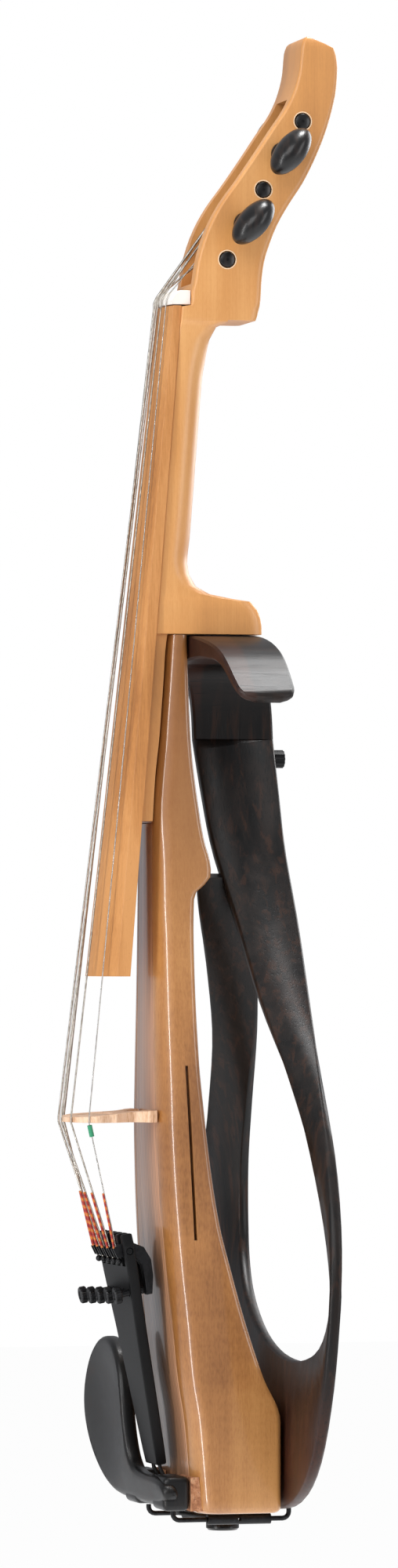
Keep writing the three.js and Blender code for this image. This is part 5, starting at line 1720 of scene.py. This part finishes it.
    def _bend(self, height: float) -> float:
        """Gives how far the plate leans towards the body at a height."""
        share = max(1.0 - (height - self.foot) / self.bend_height, 0.0)
        return self.bend * share * share


@dataclass
class RibbonFrame:
    """The twisted walnut frame, its shoulder arch and the volume control on it."""

    bench: Bench
    seam_gap: float = 0.3 * MM
    seam_band: float = 0.1 * MM

    def build(self) -> None:
        """Finishes the pieces, and draws the arch's lower end out to close its seam."""
        self.bench.refine("ribbon_frame", "walnut", 52.0)
        arch = self.bench.refine("shoulder_arch", "walnut", 33.0)
        lowest = min(vert.co.z for vert in arch.data.vertices)
        for vert in arch.data.vertices:
            if vert.co.z < lowest + self.seam_band:
                vert.co.z -= self.seam_gap
        self.bench.refine("volume_housing", "black", 35.0, edge=0.4 * MM)
        self.bench.refine("volume_knob", "black", 30.0, edge=0.15 * MM)


@dataclass(frozen=True)
class Lamp:
    """One soft lamp, in metres and watts; without a height it is square."""

    name: str
    place: tuple[float, float, float]
    aim: tuple[float, float, float]
    width: float
    power: float
    height: float = 0.0

    def hang(self) -> None:
        """Adds the lamp to the scene, turned to the point that it faces."""
        data = bpy.data.lights.new(self.name, "AREA")
        data.shape = "RECTANGLE" if self.height else "SQUARE"
        data.size = self.width
        if self.height:
            data.size_y = self.height
        data.energy = self.power
        lamp = bpy.data.objects.new(self.name, data)
        lamp.location = self.place
        ahead = Vector(self.aim) - Vector(self.place)
        lamp.rotation_euler = ahead.to_track_quat("-Z", "Y").to_euler()
        bpy.context.scene.collection.objects.link(lamp)


@dataclass
class Studio:
    """The pale room, its soft lamps and the camera."""

    azimuth: float = 15.0
    distance: float = 3.0
    eye_height: float = 0.2354
    aside: float = -9.4 * MM
    sensor_width: float = 36.0
    pixels_per_metre: float = 3190.0
    image_height: float = 2000.0
    horizon_drop: float = 200.0
    clip: tuple[float, float] = (0.01, 50.0)
    floor_height: float = -0.26
    floor_half: float = 6.0
    floor_tone: Colour = (0.85, 0.85, 0.85, 1.0)
    floor_glow: float = 0.97
    room_tone: Colour = (0.93, 0.95, 1.0, 1.0)
    room_strength: float = 0.42
    lamps: tuple[Lamp, ...] = (
        Lamp("key_lamp", (-0.9, -1.3, 1.3), (0.0, 0.0, 0.3), 1.0, 11.0),
        Lamp("strip_lamp", (-1.17, -0.55, 0.25), (0.0, 0.0, 0.25), 0.13, 10.5, height=1.6),
        Lamp("top_lamp", (0.35, 0.0, 1.9), (0.0, 0.0, 0.3), 0.6, 32.0),
        Lamp("back_lamp", (0.9, 0.7, 0.8), (0.0, 0.0, 0.3), 0.8, 7.0),
        Lamp("side_lamp", (1.2, -1.0, 0.5), (0.0, 0.0, 0.3), 0.5, 6.0, height=1.2),
    )

    def build(self) -> None:
        """Sets up the room."""
        self._camera()
        self._floor()
        self._world()
        for lamp in self.lamps:
            lamp.hang()
        bpy.context.scene.view_settings.view_transform = "Standard"

    def _camera(self) -> None:
        """Stands the camera where the photograph was taken from."""
        data = bpy.data.cameras.new("studio_camera")
        camera = bpy.data.objects.new("studio_camera", data)
        bpy.context.scene.collection.objects.link(camera)
        turn = math.radians(self.azimuth)
        ahead = Vector((math.sin(turn), math.cos(turn), 0.0))
        right = Vector((math.cos(turn), -math.sin(turn), 0.0))
        eye = Vector((0.0, 0.0, self.eye_height))
        camera.location = right * self.aside - ahead * self.distance + eye
        camera.rotation_euler = ahead.to_track_quat("-Z", "Y").to_euler()
        data.sensor_width = self.sensor_width
        data.lens = self.sensor_width * self.distance / (self.image_height / self.pixels_per_metre)
        data.shift_y = self.horizon_drop / self.image_height
        data.clip_start, data.clip_end = self.clip
        bpy.context.scene.camera = camera

    def _floor(self) -> None:
        """Lays the floor, which looks nearly white and still keeps the shadow."""
        sheet = bmesh.new()
        bmesh.ops.create_grid(sheet, x_segments=1, y_segments=1, size=self.floor_half)
        bmesh.ops.translate(sheet, verts=sheet.verts, vec=(0.0, 0.0, self.floor_height))
        floor = Bench.from_sheet("studio_floor", sheet)
        shader = Shader(bpy.data.materials.new("floor_paper"))
        seen = shader.node("ShaderNodeLightPath", output="Is Camera Ray")
        paper = shader.node("ShaderNodeBsdfDiffuse", None, {"Color": self.floor_tone})
        glow = shader.node("ShaderNodeEmission", None, {"Color": WHITE, "Strength": 1.0})
        values = {0: seen * self.floor_glow, 1: paper, 2: glow}
        shader.end(shader.node("ShaderNodeMixShader", None, values), "Material")
        floor.data.materials.append(shader.owner)

    def _world(self) -> None:
        """Lights the room evenly and shows the camera a white background."""
        shader = Shader(bpy.data.worlds.new("studio_world"))
        seen = shader.node("ShaderNodeLightPath", output="Is Camera Ray")
        tone = {"Color": self.room_tone, "Strength": self.room_strength}
        room = shader.node("ShaderNodeBackground", None, tone)
        white = shader.node("ShaderNodeBackground", None, {"Color": WHITE, "Strength": 1.0})
        values = {0: seen, 1: room, 2: white}
        shader.end(shader.node("ShaderNodeMixShader", None, values), "World")
        bpy.context.scene.world = shader.owner


def main() -> None:
    """Builds the room and dresses each sub-assembly in order."""
    logging.basicConfig(level=logging.INFO, format="%(name)s: %(message)s")
    Studio().build()
    bench = Bench()
    for group in (NeckAndHead, CentreBody, StringSet, TailGear, ChinGear, RibbonFrame):
        group(bench).build()
        log.info("finished %s", group.__name__)


if __name__ == "__main__":
    main()
